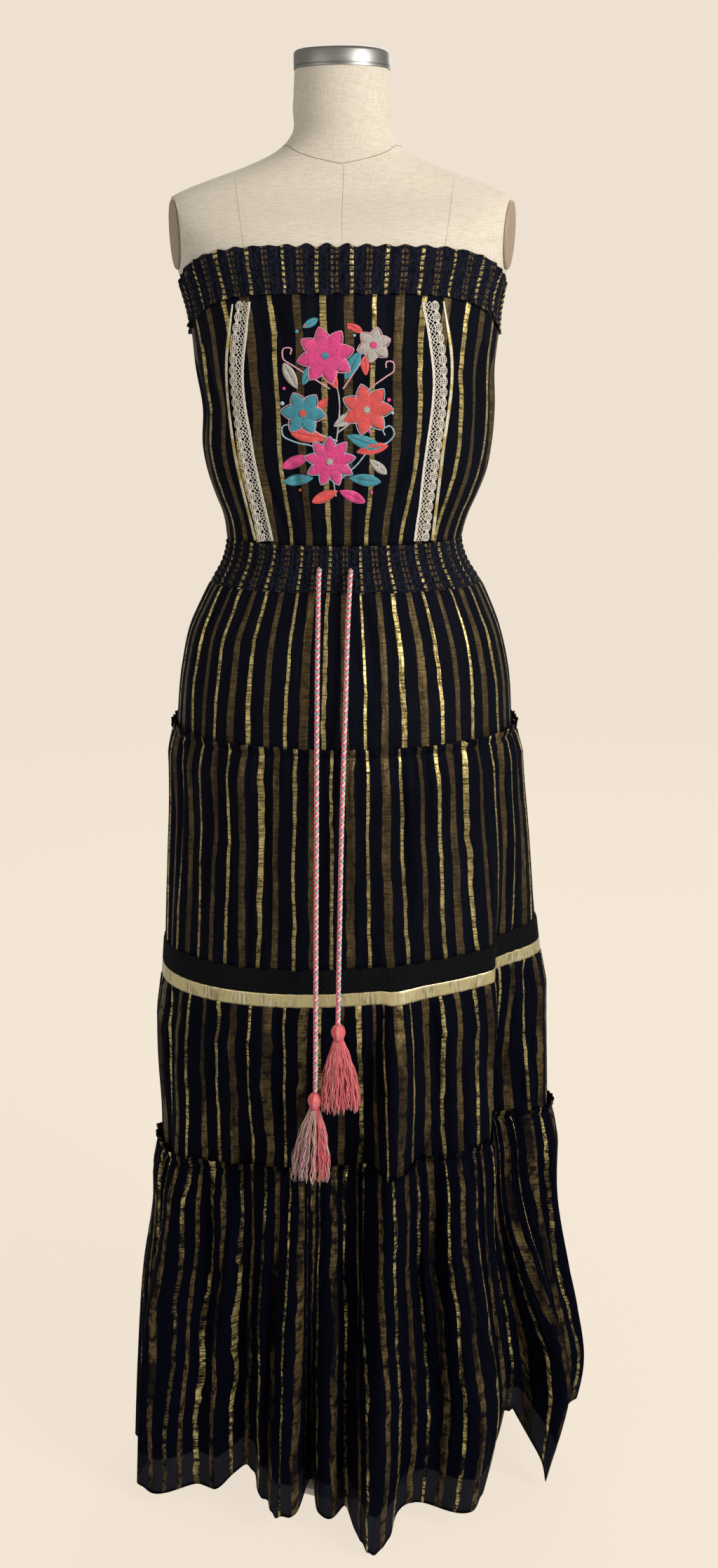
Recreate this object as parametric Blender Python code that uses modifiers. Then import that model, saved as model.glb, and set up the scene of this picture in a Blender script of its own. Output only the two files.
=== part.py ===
"""Tiered maxi dress on a limbless dress form with a plain stand.

Metres, +Z up. The front faces -Y, and left and right are as seen from the front, so that
left is -X. The origin is on the floor, under the stand's pole, and the body's side seams
lie 30 mm before it.
"""
import math

import bmesh
import bpy
import numpy as np
from mathutils import Matrix, Vector

WALL = 0.0015            # thickness of a cloth wall
GAP = 0.0003             # left open between hard pieces
SEAM = 0.0008            # left open at a seam, where two walls of unlike slope meet
BODY_Y = -0.030          # the side seams lie this far before the pole
SIDE_GAP = 0.10          # degrees left open at each side seam, on each panel

# Heights of the seams, at the centre front.
BANDEAU_TOP = 1.412
BODICE_TOP = 1.360
WAIST_TOP = 1.090
TIER_1_TOP = 1.040
TIER_2_TOP = 0.875
LACE_TOP = 0.642
GOLD_TOP = 0.617
TIER_3_TOP = 0.602
TIER_4_TOP = 0.410
HEM = 0.029
HEADING = 0.009          # a ruffle's free edge stands this far over its seam
SIDE_DROP = 0.045        # the bandeau's two edges lie this much lower at the sides and back
TILT_HEIGHTS = (0.12, 0.41, 0.60, 0.86)   # the seams rise this much towards the right
TILTS = (0.0, 0.018, 0.012, 0.0)

# The dress at rest, without folds: half widths and depths from the middle of the body,
# the squareness of the section (2 is an ellipse), and the ease between cloth and form.
SECTION_NAMES = ("height", "left", "right", "front", "back", "squareness", "ease")
SECTIONS = (
    (0.000, 0.2480, 0.2640, 0.130, 0.166, 2.0, 0.050),
    (0.130, 0.2370, 0.2850, 0.128, 0.166, 2.0, 0.050),
    (0.230, 0.2285, 0.2650, 0.125, 0.163, 2.0, 0.050),
    (0.330, 0.2110, 0.2430, 0.122, 0.160, 2.0, 0.050),
    (0.410, 0.2070, 0.2370, 0.120, 0.156, 2.0, 0.040),
    (0.510, 0.2090, 0.2320, 0.130, 0.152, 2.0, 0.035),
    (0.600, 0.2055, 0.2270, 0.143, 0.149, 2.0, 0.030),
    (0.680, 0.2000, 0.2180, 0.147, 0.147, 2.0, 0.026),
    (0.780, 0.1920, 0.2040, 0.149, 0.145, 2.0, 0.018),
    (0.875, 0.1865, 0.1915, 0.147, 0.142, 2.05, 0.012),
    (0.950, 0.1790, 0.1850, 0.134, 0.130, 2.1, 0.007),
    (0.995, 0.1680, 0.1735, 0.118, 0.110, 2.15, 0.003),
    (1.018, 0.1570, 0.1640, 0.107, 0.0985, 2.15, 0.0016),
    (1.040, 0.1455, 0.1535, 0.098, 0.087, 2.15, 0.0006),
    (1.065, 0.1325, 0.1385, 0.090, 0.077, 2.15, 0.0012),
    (1.090, 0.1275, 0.1320, 0.088, 0.074, 2.15, 0.0006),
    (1.115, 0.1310, 0.1385, 0.0915, 0.0755, 2.15, 0.0020),
    (1.140, 0.1410, 0.1500, 0.096, 0.078, 2.15, 0.004),
    (1.165, 0.1495, 0.1600, 0.1005, 0.0805, 2.15, 0.006),
    (1.190, 0.1545, 0.1650, 0.106, 0.0835, 2.2, 0.007),
    (1.235, 0.1545, 0.1690, 0.115, 0.089, 2.2, 0.007),
    (1.280, 0.1620, 0.1685, 0.124, 0.095, 2.2, 0.005),
    (1.322, 0.1660, 0.1725, 0.127, 0.100, 2.25, 0.0034),
    (1.360, 0.1755, 0.1785, 0.120, 0.103, 2.3, 0.0020),
    (1.386, 0.1840, 0.1860, 0.112, 0.102, 2.35, 0.0014),
    (1.412, 0.1900, 0.1920, 0.103, 0.100, 2.4, 0.0008),
)

# The form above the dress: half width, front, back and squareness at each height.
SHOULDER_NAMES = ("height", "half", "front", "back", "squareness")
SHOULDERS = (
    (1.435, 0.1960, 0.088, 0.092, 2.5),
    (1.455, 0.1960, 0.070, 0.080, 2.4),
    (1.466, 0.1890, 0.060, 0.070, 2.3),
    (1.474, 0.1740, 0.056, 0.065, 2.2),
    (1.486, 0.1430, 0.053, 0.061, 2.1),
    (1.500, 0.1050, 0.051, 0.057, 2.0),
    (1.515, 0.0740, 0.050, 0.053, 2.0),
    (1.532, 0.0570, 0.050, 0.051, 2.0),
    (1.565, 0.0540, 0.0515, 0.0515, 2.0),
    (1.6047, 0.0520, 0.0520, 0.0520, 2.0),
)

# The skirt's large folds on the front: cloth angle at the hem and where the fold dies out
# (0 is the centre front, 90 the right side), how far it stands out, its width in
# degrees on each side, the heights where it starts and is full, and the hem's lift there.
FOLD_NAMES = ("hem_angle", "top_angle", "out", "before", "after", "start", "full", "lift")
FRONT_FOLDS = (
    (-79.0, -76.0, -0.003, 9.0, 9.0, 0.42, 0.10, -0.002),
    (-56.0, -58.0, 0.030, 18.0, 14.0, 0.56, 0.10, -0.010),
    (-28.0, -28.0, -0.018, 9.0, 8.0, 0.50, 0.15, 0.024),
    (-14.8, -12.0, 0.026, 6.0, 5.5, 0.50, 0.10, -0.004),
    (-9.0, -9.0, -0.030, 2.8, 2.8, 0.30, 0.08, 0.010),
    (-3.0, -4.0, 0.020, 5.0, 4.0, 0.45, 0.15, -0.002),
    (5.0, 15.5, 0.047, 6.0, 10.5, 0.68, 0.42, -0.023),
    (31.0, 36.0, 0.026, 13.0, 7.0, 0.60, 0.15, -0.002),
    (47.0, 60.0, -0.052, 11.0, 34.0, 0.80, 0.42, 0.000),
    (10.0, 10.0, 0.000, 6.0, 5.0, 0.20, 0.10, -0.012),
    (43.5, 43.5, 0.000, 7.0, 9.0, 0.20, 0.10, 0.050),
    (54.0, 54.0, 0.000, 9.0, 9.0, 0.20, 0.10, 0.050),
    (62.5, 64.5, 0.050, 8.0, 9.5, 0.38, 0.10, -0.014),
    (80.0, 80.0, -0.004, 16.0, 34.0, 0.40, 0.10, 0.055),
)
BACK_FOLDS = 12          # even folds across the back, each a crest and a trough
BACK_FOLD_OUT = 0.017
BACK_FOLD_START = 0.60

# Rows of each tier, from its top edge down: height, distance out from the plain section,
# and how far the gathers stand out there.
LAP = WALL + 0.0009      # a ruffle's outer face at its seam, over the tier above
PANEL_ROWS = {
    "bandeau": ((BANDEAU_TOP, 0.0002, 0.0024), (1.386, 0.0, 0.0022), (BODICE_TOP + SEAM, 0.0012, 0.0030)),
    "bodice": ((BODICE_TOP, 0.0, 0.0020), (1.318, 0.0, 0.0010), (1.268, 0.0, 0.0010), (1.205, 0.0, 0.0010),
               (1.140, 0.0, 0.0016), (WAIST_TOP + SEAM, 0.0, 0.0022)),
    "waist": ((WAIST_TOP, 0.0, 0.0022), (1.066, 0.0, 0.0020), (TIER_1_TOP + SEAM, 0.0, 0.0026)),
    "tier_1": ((TIER_1_TOP, 0.0, 0.0026), (0.995, 0.0, 0.0020), (0.940, 0.0, 0.0010), (TIER_2_TOP, 0.0, 0.0)),
    "tier_2": ((TIER_2_TOP + HEADING, 0.0042, 0.0030), (TIER_2_TOP, LAP, 0.0008),
               (0.850, 0.0050, 0.0046), (0.755, 0.0030, 0.0034), (LACE_TOP + SEAM, 0.0, 0.0)),
    "black_lace": ((LACE_TOP, 0.0, 0.0), (GOLD_TOP + SEAM, 0.0, 0.0)),
    "gold_band": ((GOLD_TOP, 0.0, 0.0), (TIER_3_TOP + SEAM, 0.0, 0.0)),
    "tier_3": ((TIER_3_TOP, 0.0, 0.0), (0.560, 0.0020, 0.0050), (0.490, 0.0010, 0.0036), (TIER_4_TOP, 0.0, 0.0)),
    "tier_4": ((TIER_4_TOP + HEADING, 0.0044, 0.0036), (TIER_4_TOP, LAP, 0.0008),
               (0.375, 0.0060, 0.0060), (0.215, 0.0020, 0.0040), (HEM, 0.0, 0.0)),
}
# Columns in a front or back panel and gathers all round, for each tier.
PANEL_COUNTS = {
    "bandeau": (40, 20), "bodice": (30, 12), "waist": (40, 20), "tier_1": (30, 12),
    "tier_2": (48, 24), "black_lace": (48, 24), "gold_band": (48, 24), "tier_3": (56, 24), "tier_4": (56, 24),
}
SLOPED = ("bandeau", "bodice")   # tiers whose top edge drops towards the sides
SKIRT = ("tier_2", "black_lace", "gold_band", "tier_3", "tier_4")

# Trims on the bodice front: material, width, columns, and the middle line's side and height.
TRIMS = {
    "lace_left": ("cream_lace", 0.0175, 4, ((-0.1024, 1.353), (-0.1106, 1.274), (-0.1019, 1.195), (-0.0818, 1.094))),
    "lace_right": ("cream_lace", 0.0175, 4, ((0.0930, 1.353), (0.1039, 1.274), (0.0944, 1.170), (0.0857, 1.094))),
    "braid_left": ("silver", 0.0044, 2, ((-0.1165, 1.345), (-0.1232, 1.283), (-0.1170, 1.195), (-0.0958, 1.094))),
    "braid_right": ("silver", 0.0044, 2, ((0.1095, 1.353), (0.1182, 1.300), (0.1085, 1.185), (0.1000, 1.094))),
}
TRIM_STAND_OFF = 0.0009
TRIM_ROWS = 14
TRIM_WALL = 0.0012

CORD_DIAMETER = 0.005
CORD_STEP = 0.014
# Drawcords: side, height and distance before the side seams' line, from the casing down.
CORD_ROUTES = {
    "cord_left": ((-0.0236, 1.0664, 0.0931), (-0.0236, 1.0660, 0.0961), (-0.0238, 1.0640, 0.0996),
                  (-0.0241, 1.0590, 0.1035), (-0.0243, 1.048, 0.1075), (-0.0246, 1.020, 0.1190),
                  (-0.0250, 0.980, 0.1350), (-0.0252, 0.930, 0.1500), (-0.0254, 0.884, 0.1595),
                  (-0.0256, 0.840, 0.1640), (-0.0258, 0.780, 0.1648), (-0.0264, 0.700, 0.1648),
                  (-0.0268, 0.620, 0.1650), (-0.0272, 0.560, 0.1650), (-0.0274, 0.5180, 0.1650)),
    "cord_right": ((0.0100, 1.0654, 0.0935), (0.0100, 1.0650, 0.0965), (0.0098, 1.0630, 0.1000),
                   (0.0094, 1.0580, 0.1040), (0.0088, 1.047, 0.1082), (0.0072, 1.018, 0.1200),
                   (0.0058, 0.978, 0.1356), (0.0046, 0.930, 0.1503), (0.0030, 0.884, 0.1597),
                   (0.0016, 0.840, 0.1642), (0.0000, 0.780, 0.1652), (-0.0014, 0.710, 0.1656),
                   (-0.0026, 0.650, 0.1660), (-0.0034, 0.5930, 0.1662)),
}
TASSEL_HEAD = ((0.0034, 0.0), (0.0062, 0.0030), (0.0072, 0.0080), (0.0064, 0.0130), (0.0056, 0.0165),
               (0.0038, 0.0169), (0.0019, 0.0169))   # radius and depth below the cord's end
TASSEL_SECTORS = 10
TASSEL_ROOT_RINGS = 2    # the last rings of the head, where the strands grow out
TASSEL_ROOT_INSET = 0.00022
TASSEL_STRANDS = ((0.42, 0.62, 1.5), (1.0, 1.0, 1.1))   # share of the length, of the flare, and widening
TASSEL_LENGTH = 0.094
TASSEL_FLARE = 0.021
TASSEL_DEPTH = 0.60      # how deep the strands' bundle is, as a share of its width
TASSEL_LEANS = {"left": 4.0, "right": -2.0}   # degrees

FORM_BOTTOM = 0.800
ARMHOLE_X = 0.1852       # the cut face under the shoulder tip
ARMHOLE_TURN = 13.0      # degrees that face turns to the front
ARMHOLE_LEAN = 4.0       # degrees it leans in below
ARMHOLE_HEIGHT = 0.038   # half height and half depth of the plate
ARMHOLE_DEPTH = 0.034
ARMHOLE_PLATE = 0.003
ARMHOLE_Z = 1.4250
ARMHOLE_FORWARD = 0.012  # the plate's middle lies this far before the side seams' line
CAP_RADIUS = 0.0530
CAP_BOTTOM = 1.605
CAP_HEIGHT = 0.0215
POLE_RADIUS = 0.0125
BASE_RADIUS = 0.105
BASE_EDGE = 0.008
BASE_HEIGHT = 0.014

COLOURS = {              # colour, roughness, metallic
    "cloth": ((0.012, 0.013, 0.022), 0.8, 0.0),
    "gold": ((0.52, 0.42, 0.17), 0.45, 0.6),
    "black_lace": ((0.008, 0.008, 0.012), 0.9, 0.0),
    "cream_lace": ((0.78, 0.69, 0.60), 0.85, 0.0),
    "silver": ((0.70, 0.70, 0.62), 0.4, 0.5),
    "cord": ((0.80, 0.30, 0.36), 0.8, 0.0),
    "linen": ((0.68, 0.58, 0.44), 0.9, 0.0),
    "plate": ((0.25, 0.22, 0.19), 0.7, 0.0),
    "steel": ((0.52, 0.51, 0.49), 0.3, 1.0),
}


def material(name):
    """A Principled material from the colour table."""
    found = bpy.data.materials.get(name)
    if found:
        return found
    colour, roughness, metallic = COLOURS[name]
    made = bpy.data.materials.new(name)
    made.use_nodes = True
    shader = made.node_tree.nodes["Principled BSDF"]
    shader.inputs["Base Color"].default_value = (*colour, 1.0)
    shader.inputs["Roughness"].default_value = roughness
    shader.inputs["Metallic"].default_value = metallic
    return made


def column(table, names, name):
    return np.array([row[names.index(name)] for row in table])


def smooth(at, places, values):
    """A cubic through (places, values), level outside them."""
    slopes = np.gradient(values, places)
    i = np.clip(np.searchsorted(places, at) - 1, 0, len(places) - 2)
    span = places[i + 1] - places[i]
    t = np.clip((at - places[i]) / span, 0.0, 1.0)
    start = (2 * t**3 - 3 * t**2 + 1) * values[i] + (t**3 - 2 * t**2 + t) * span * slopes[i]
    return start + (3 * t**2 - 2 * t**3) * values[i + 1] + (t**3 - t**2) * span * slopes[i + 1]


def section_value(height, name):
    return smooth(height, column(SECTIONS, SECTION_NAMES, "height"), column(SECTIONS, SECTION_NAMES, name))


def side_drop(angle):
    """How far an edge of the bandeau lies under its centre front, at this cloth angle."""
    s = np.abs(np.sin(np.radians(angle)))
    return SIDE_DROP * np.where(np.abs(angle) < 90.0, s**5, 1.0)


def bump(angle, centre, before, after):
    """1 at the centre, falling smoothly to 0 over the widths before and after it."""
    away = (angle - centre + 180.0) % 360.0 - 180.0
    q = np.clip(np.where(away < 0.0, -away / before, away / after), 0.0, 1.0)
    return 0.5 + 0.5 * np.cos(math.pi * q)


def growth(height, start, full):
    """0 above the height where a fold starts, 1 below the height where it is full."""
    t = np.clip((start - height) / (start - full), 0.0, 1.0)
    return t * t * (3.0 - 2.0 * t)


def fold_out(angle, height):
    """How far the large folds stand out from the plain section."""
    out = np.zeros(np.broadcast(angle, height).shape)
    for row in FRONT_FOLDS:
        fold = dict(zip(FOLD_NAMES, row))
        grown = growth(height, fold["start"], fold["full"])
        upward = np.clip((height - HEM) / (fold["start"] - HEM), 0.0, 1.0)
        centre = fold["hem_angle"] + (fold["top_angle"] - fold["hem_angle"]) * upward
        out = out + fold["out"] * grown * bump(angle, centre, fold["before"], fold["after"])
    behind = np.clip(-2.2 * np.cos(np.radians(angle)), 0.0, 1.0)
    wave = np.cos(np.radians(angle * BACK_FOLDS * 2.0)) * (0.8 + 0.2 * np.cos(np.radians(angle * 5.0)))
    return out + behind * BACK_FOLD_OUT * growth(height, BACK_FOLD_START, HEM) * (wave - 0.15)


def hem_lift(angle):
    """How far the hem stands over its plain height at this cloth angle."""
    lift = np.zeros(np.shape(angle))
    for row in FRONT_FOLDS:
        fold = dict(zip(FOLD_NAMES, row))
        lift = lift + fold["lift"] * bump(angle, fold["hem_angle"], fold["before"], fold["after"])
    return lift


def plan(angle, height, out):
    """Points round the body: a rounded oblong of the section's sizes, moved out along its normal."""
    s, c = np.sin(np.radians(angle)), np.cos(np.radians(angle))
    wide = np.where(s < 0.0, section_value(height, "left"), section_value(height, "right"))
    deep = np.where(c > 0.0, section_value(height, "front"), section_value(height, "back"))
    n = section_value(height, "squareness")
    k = (np.abs(s)**n + np.abs(c)**n) ** (-1.0 / n)
    nx, ny = s / wide, -c / deep
    size = np.hypot(nx, ny)
    return wide * s * k + out * nx / size, BODY_Y - deep * c * k + out * ny / size


def cloth(angle, height, out=0.0, gather=0.0, gathers=0, stand_off=0.0):
    """Points of the dress's outer face, then moved along the true normal by stand_off."""
    def ring(a):
        ripple = gather * (0.5 - 0.5 * np.cos(np.radians(a * gathers)))
        return plan(a, height, out + ripple + fold_out(a, height))

    x, y = ring(angle)
    ahead, behind = ring(angle + 0.25), ring(angle - 0.25)
    tx, ty = ahead[0] - behind[0], ahead[1] - behind[1]
    size = np.hypot(tx, ty)
    return np.stack([x + stand_off * ty / size, y - stand_off * tx / size, height + 0.0 * x], axis=-1)


def even_columns(count, centre):
    """Cloth angles across half the skirt, about evenly spaced along the folded hem."""
    fine = np.linspace(centre - 90.0, centre + 90.0, 721)
    hem = cloth(fine, HEM + 0.0 * fine)
    steps = np.hypot(*np.diff(hem[:, :2], axis=0).T)
    steps = steps + 0.7 * steps.mean()
    along = np.concatenate([[0.0], np.cumsum(steps)])
    return np.interp(np.linspace(0.0, along[-1], count + 1), along, fine)


def panel_angles(tier, centre):
    """Cloth angles of a panel's columns, its two ends drawn in from the side seams."""
    count = PANEL_COUNTS[tier][0]
    angles = even_columns(count, centre) if tier in SKIRT else np.linspace(centre - 90.0, centre + 90.0, count + 1)
    angles[0] += SIDE_GAP
    angles[-1] -= SIDE_GAP
    return angles


def panel_points(tier, angles):
    """The grid of a tier's outer face: one row of points for each row of its table."""
    gathers = PANEL_COUNTS[tier][1]
    rows = []
    for height, out, gather in PANEL_ROWS[tier]:
        heights = height + 0.0 * angles
        if tier in SLOPED and height > WAIST_TOP + SEAM:
            share = np.clip((height - 1.14) / (BODICE_TOP - 1.14), 0.0, 1.0)
            heights = heights - share * side_drop(angles)
        if tier in SKIRT:
            heights = heights + np.interp(height, TILT_HEIGHTS, TILTS) * np.sin(np.radians(angles))
        if height == HEM:
            heights = heights + hem_lift(angles)
        lap = min(out, LAP)
        rows.append(cloth(angles, heights, out - lap, gather, gathers, lap))
    return np.array(rows)


def on_panel(tier, angle, height, stand_off):
    """The point of a front panel's flat faces at a cloth angle and height, moved out from it."""
    columns = panel_angles(tier, 0.0)
    rows = panel_points(tier, columns)[::-1]
    across = np.array([[np.interp(angle, columns, row[:, axis]) for axis in range(3)] for row in rows])
    place = np.array([np.interp(height, across[:, 2], across[:, axis]) for axis in range(3)])
    return place + stand_off * (cloth(angle, height, stand_off=1.0) - cloth(angle, height))


def grid_object(name, points, kind, wall):
    """An open grid of quads, its first row at the top, thickened inwards by a wall."""
    count_down, count_across = points.shape[:2]
    mesh = bpy.data.meshes.new(name)
    bm = bmesh.new()
    verts = [[bm.verts.new(Vector(point)) for point in row] for row in points]
    for i in range(count_down - 1):
        for j in range(count_across - 1):
            bm.faces.new((verts[i][j], verts[i + 1][j], verts[i + 1][j + 1], verts[i][j + 1]))
    bm.to_mesh(mesh)
    bm.free()
    piece = bpy.data.objects.new(name, mesh)
    solid = piece.modifiers.new("wall", "SOLIDIFY")
    solid.thickness = wall
    solid.offset = -1.0
    return finish(piece, kind)


def finish(piece, kind):
    """Puts a piece in the dress's collection with its material."""
    bpy.data.collections["tiered_maxi_dress"].objects.link(piece)
    piece.data.materials.append(material(kind))
    return piece


def make_panels():
    """Front and back panel of every tier, parted at the side seams."""
    kinds = {"black_lace": "black_lace", "gold_band": "gold"}
    for tier in PANEL_ROWS:
        for side, centre in (("front", 0.0), ("back", 180.0)):
            points = panel_points(tier, panel_angles(tier, centre))
            grid_object(f"{tier}_{side}", points, kinds.get(tier, "cloth"), WALL)


def trim_angles(middle, width, height):
    """Cloth angles of a trim's left and right edge where its middle line passes a height."""
    sides, heights = np.array(middle)[::-1].T
    fine = np.linspace(-80.0, 80.0, 641)
    line = cloth(fine, height + 0.0 * fine)
    along = np.concatenate([[0.0], np.cumsum(np.hypot(*np.diff(line[:, :2], axis=0).T))])
    centre = np.interp(smooth(height, heights, sides), line[:, 0], along)
    return np.interp((centre - width / 2.0, centre + width / 2.0), along, fine)


def make_trims():
    """Crochet lace and silver braid down both sides of the bodice front, laid on its panel."""
    for name, (kind, width, columns, middle) in TRIMS.items():
        points = []
        for height in np.linspace(middle[0][1], middle[-1][1], TRIM_ROWS):
            angles = np.linspace(*trim_angles(middle, width, height), columns + 1)
            points.append([on_panel("bodice", angle, height, TRIM_STAND_OFF + TRIM_WALL) for angle in angles])
        grid_object(name, np.array(points), kind, TRIM_WALL)


def smooth_route(points, step):
    """Points about one step apart on a smooth curve through the given points."""
    points = np.array(points)
    lengths = np.linalg.norm(np.diff(points, axis=0), axis=1)
    along = np.concatenate([[0.0], np.cumsum(lengths)])
    count = max(4, int(round(along[-1] / step)))
    at = np.linspace(0.0, along[-1], count + 1)
    return np.stack([smooth(at, along, points[:, axis]) for axis in range(3)], axis=1)


def make_cord(name, route):
    """A drawcord: a round tube along its route."""
    points = [(x, BODY_Y - before, z) for x, z, before in route]
    curve = bpy.data.curves.new(name, "CURVE")
    curve.dimensions = "3D"
    curve.bevel_depth = CORD_DIAMETER / 2.0
    curve.bevel_resolution = 2
    curve.use_fill_caps = True
    spline = curve.splines.new("POLY")
    places = smooth_route(points, CORD_STEP)
    spline.points.add(len(places) - 1)
    for point, place in zip(spline.points, places):
        point.co = (*place, 1.0)
    return finish(bpy.data.objects.new(name, curve), "cord")


def tassel_head(bm):
    """A tassel's turned head, top at the origin. Gives the faces that its strands grow from."""
    turns = [math.tau * k / TASSEL_SECTORS for k in range(TASSEL_SECTORS)]
    rings = [[bm.verts.new((radius * math.cos(a), radius * math.sin(a), -down)) for a in turns]
             for radius, down in TASSEL_HEAD]
    faces = []
    for upper, lower in zip(rings, rings[1:]):
        for k in range(TASSEL_SECTORS):
            after = (k + 1) % TASSEL_SECTORS
            faces.append(bm.faces.new((upper[k], lower[k], lower[after], upper[after])))
    bm.faces.new(rings[0])
    bm.faces.new(rings[-1][::-1])
    return faces[-TASSEL_ROOT_RINGS * TASSEL_SECTORS:]


def draw_strands(bm, roots):
    """Draws each root face down into a strand, wider apart the farther out it starts."""
    bm.normal_update()
    bmesh.ops.inset_individual(bm, faces=roots, thickness=TASSEL_ROOT_INSET, depth=0.0)
    centres = [face.calc_center_median() for face in roots]
    outermost = max(centre.xy.length for centre in centres)
    starts = [(math.atan2(centre.y, centre.x), centre.xy.length / outermost) for centre in centres]
    head = TASSEL_HEAD[-1][1]
    for drop, spread, widening in TASSEL_STRANDS:
        roots = bmesh.ops.extrude_discrete_faces(bm, faces=roots)["faces"]
        for face, (turn, out) in zip(roots, starts):
            distance = TASSEL_FLARE * spread * out
            place = Vector((distance * math.cos(turn), distance * TASSEL_DEPTH * math.sin(turn),
                            -head - (TASSEL_LENGTH - head) * drop))
            centre = face.calc_center_median()
            for vert in face.verts:
                offset = vert.co - centre
                offset.z = 0.0
                vert.co = place + offset * widening


def make_tassel(name, route, lean):
    """A tassel just under its cord's end."""
    bm = bmesh.new()
    draw_strands(bm, tassel_head(bm))
    x, z, before = route[-1]
    bmesh.ops.transform(bm, matrix=Matrix.Rotation(math.radians(lean), 4, "Y"), verts=bm.verts)
    bmesh.ops.translate(bm, vec=(x, BODY_Y - before, z - GAP), verts=bm.verts)
    mesh = bpy.data.meshes.new(name)
    bm.to_mesh(mesh)
    bm.free()
    return finish(bpy.data.objects.new(name, mesh), "cord")


def form_rows():
    """Height and four sizes of the form's sections, from its underside to the neck."""
    heights = [FORM_BOTTOM] + [row[0] for row in SECTIONS if FORM_BOTTOM < row[0]]
    rows = []
    for height in heights:
        less = WALL + section_value(height, "ease")
        rows.append((height, section_value(height, "left") - less, section_value(height, "right") - less,
                     section_value(height, "front") - less, section_value(height, "back") - less,
                     section_value(height, "squareness")))
    for height, half, front, back, squareness in SHOULDERS:
        rows.append((height, half, half, front, back, squareness))
    return rows


def make_form():
    """The form's padded torso and neck in one, its sides cut flat where the arms would be."""
    count = 32
    bm = bmesh.new()
    rings = []
    for height, left, right, front, back, n in form_rows():
        ring = []
        for k in range(count):
            s, c = math.sin(math.tau * k / count), math.cos(math.tau * k / count)
            r = (abs(s)**n + abs(c)**n) ** (-1.0 / n)
            wide, deep = (left if s < 0.0 else right), (front if c > 0.0 else back)
            ring.append(bm.verts.new((wide * s * r, BODY_Y - deep * c * r, height)))
        rings.append(ring)
    for lower, upper in zip(rings, rings[1:]):
        for k in range(count):
            after = (k + 1) % count
            bm.faces.new((lower[k], lower[after], upper[after], upper[k]))
    bm.faces.new(rings[0][::-1])
    bm.faces.new(rings[-1])
    for sign in (-1.0, 1.0):
        place, facing = armhole_plane(sign)
        cut = bmesh.ops.bisect_plane(bm, geom=bm.verts[:] + bm.edges[:] + bm.faces[:], dist=0.00001,
                                     plane_co=place, plane_no=facing, clear_outer=True)
        edges = [part for part in cut["geom_cut"] if isinstance(part, bmesh.types.BMEdge)]
        bmesh.ops.contextual_create(bm, geom=edges)
    mesh = bpy.data.meshes.new("torso")
    bm.to_mesh(mesh)
    bm.free()
    mesh.shade_smooth()
    finish(bpy.data.objects.new("torso", mesh), "linen")


def armhole_plane(sign):
    """A point and the outward normal of the flat cut on one side of the form."""
    turn, lean = math.radians(ARMHOLE_TURN), math.radians(ARMHOLE_LEAN)
    facing = Vector((sign * math.cos(turn) * math.cos(lean), -math.sin(turn) * math.cos(lean), -math.sin(lean)))
    return Vector((sign * ARMHOLE_X, BODY_Y, ARMHOLE_Z)), facing


def make_armhole_plates():
    """A thin oval plate over each flat cut."""
    for side, sign in (("left", -1.0), ("right", 1.0)):
        place, facing = armhole_plane(sign)
        bpy.ops.mesh.primitive_cylinder_add(vertices=28, radius=1.0, depth=ARMHOLE_PLATE)
        plate = bpy.context.object
        plate.name = f"armhole_plate_{side}"
        plate.data.name = plate.name
        plate.data.transform(Matrix.Diagonal((ARMHOLE_HEIGHT, ARMHOLE_DEPTH, 1.0, 1.0)))
        up = (Vector((0.0, 0.0, 1.0)) - facing * facing.z).normalized()
        turn = Matrix((up, facing.cross(up), facing)).transposed().to_4x4()
        ahead = facing.cross(Vector((0.0, 0.0, 1.0))).normalized() * (ARMHOLE_FORWARD * sign)
        plate.matrix_world = Matrix.Translation(place + ahead + facing * (ARMHOLE_PLATE / 2.0 + GAP)) @ turn
        plate.users_collection[0].objects.unlink(plate)
        finish(plate, "plate")


def turned(name, profile, kind, steps, centre_y):
    """A profile of (radius, height) points, run down its outer side, turned about Z."""
    mesh = bpy.data.meshes.new(name)
    verts = [(radius, 0.0, height) for radius, height in profile]
    mesh.from_pydata(verts, [(k, k + 1) for k in range(len(verts) - 1)], [])
    piece = bpy.data.objects.new(name, mesh)
    piece.location = (0.0, centre_y, 0.0)
    screw = piece.modifiers.new("turn", "SCREW")
    screw.steps = steps
    screw.render_steps = steps
    screw.use_merge_vertices = True
    screw.merge_threshold = 0.00001
    return finish(piece, kind)


def make_stand():
    """Steel neck cap, pole and round base."""
    cap_low = CAP_BOTTOM
    cap_top = CAP_BOTTOM + CAP_HEIGHT
    cap = ((0.0, cap_top), (CAP_RADIUS - 0.010, cap_top - 0.0004), (CAP_RADIUS - 0.0022, cap_top - 0.0014),
           (CAP_RADIUS, cap_top - 0.0044), (CAP_RADIUS, cap_low), (0.0, cap_low))
    turned("neck_cap", cap, "steel", 28, BODY_Y)
    base = ((0.0, BASE_HEIGHT), (0.030, BASE_HEIGHT), (BASE_RADIUS - 0.004, BASE_EDGE),
            (BASE_RADIUS, BASE_EDGE - 0.004), (BASE_RADIUS, 0.0), (0.0, 0.0))
    turned("base", base, "steel", 36, 0.0)
    pole = ((0.0, FORM_BOTTOM - GAP), (POLE_RADIUS, FORM_BOTTOM - GAP), (POLE_RADIUS, BASE_HEIGHT + GAP),
            (0.0, BASE_HEIGHT + GAP))
    turned("pole", pole, "steel", 20, 0.0)


def main():
    for old in list(bpy.data.objects):
        bpy.data.objects.remove(old, do_unlink=True)
    collection = bpy.data.collections.new("tiered_maxi_dress")
    bpy.context.scene.collection.children.link(collection)
    make_panels()
    make_trims()
    for side, lean in TASSEL_LEANS.items():
        make_cord(f"cord_{side}", CORD_ROUTES[f"cord_{side}"])
        make_tassel(f"tassel_{side}", CORD_ROUTES[f"cord_{side}"], lean)
    make_form()
    make_armhole_plates()
    make_stand()


main()
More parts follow.
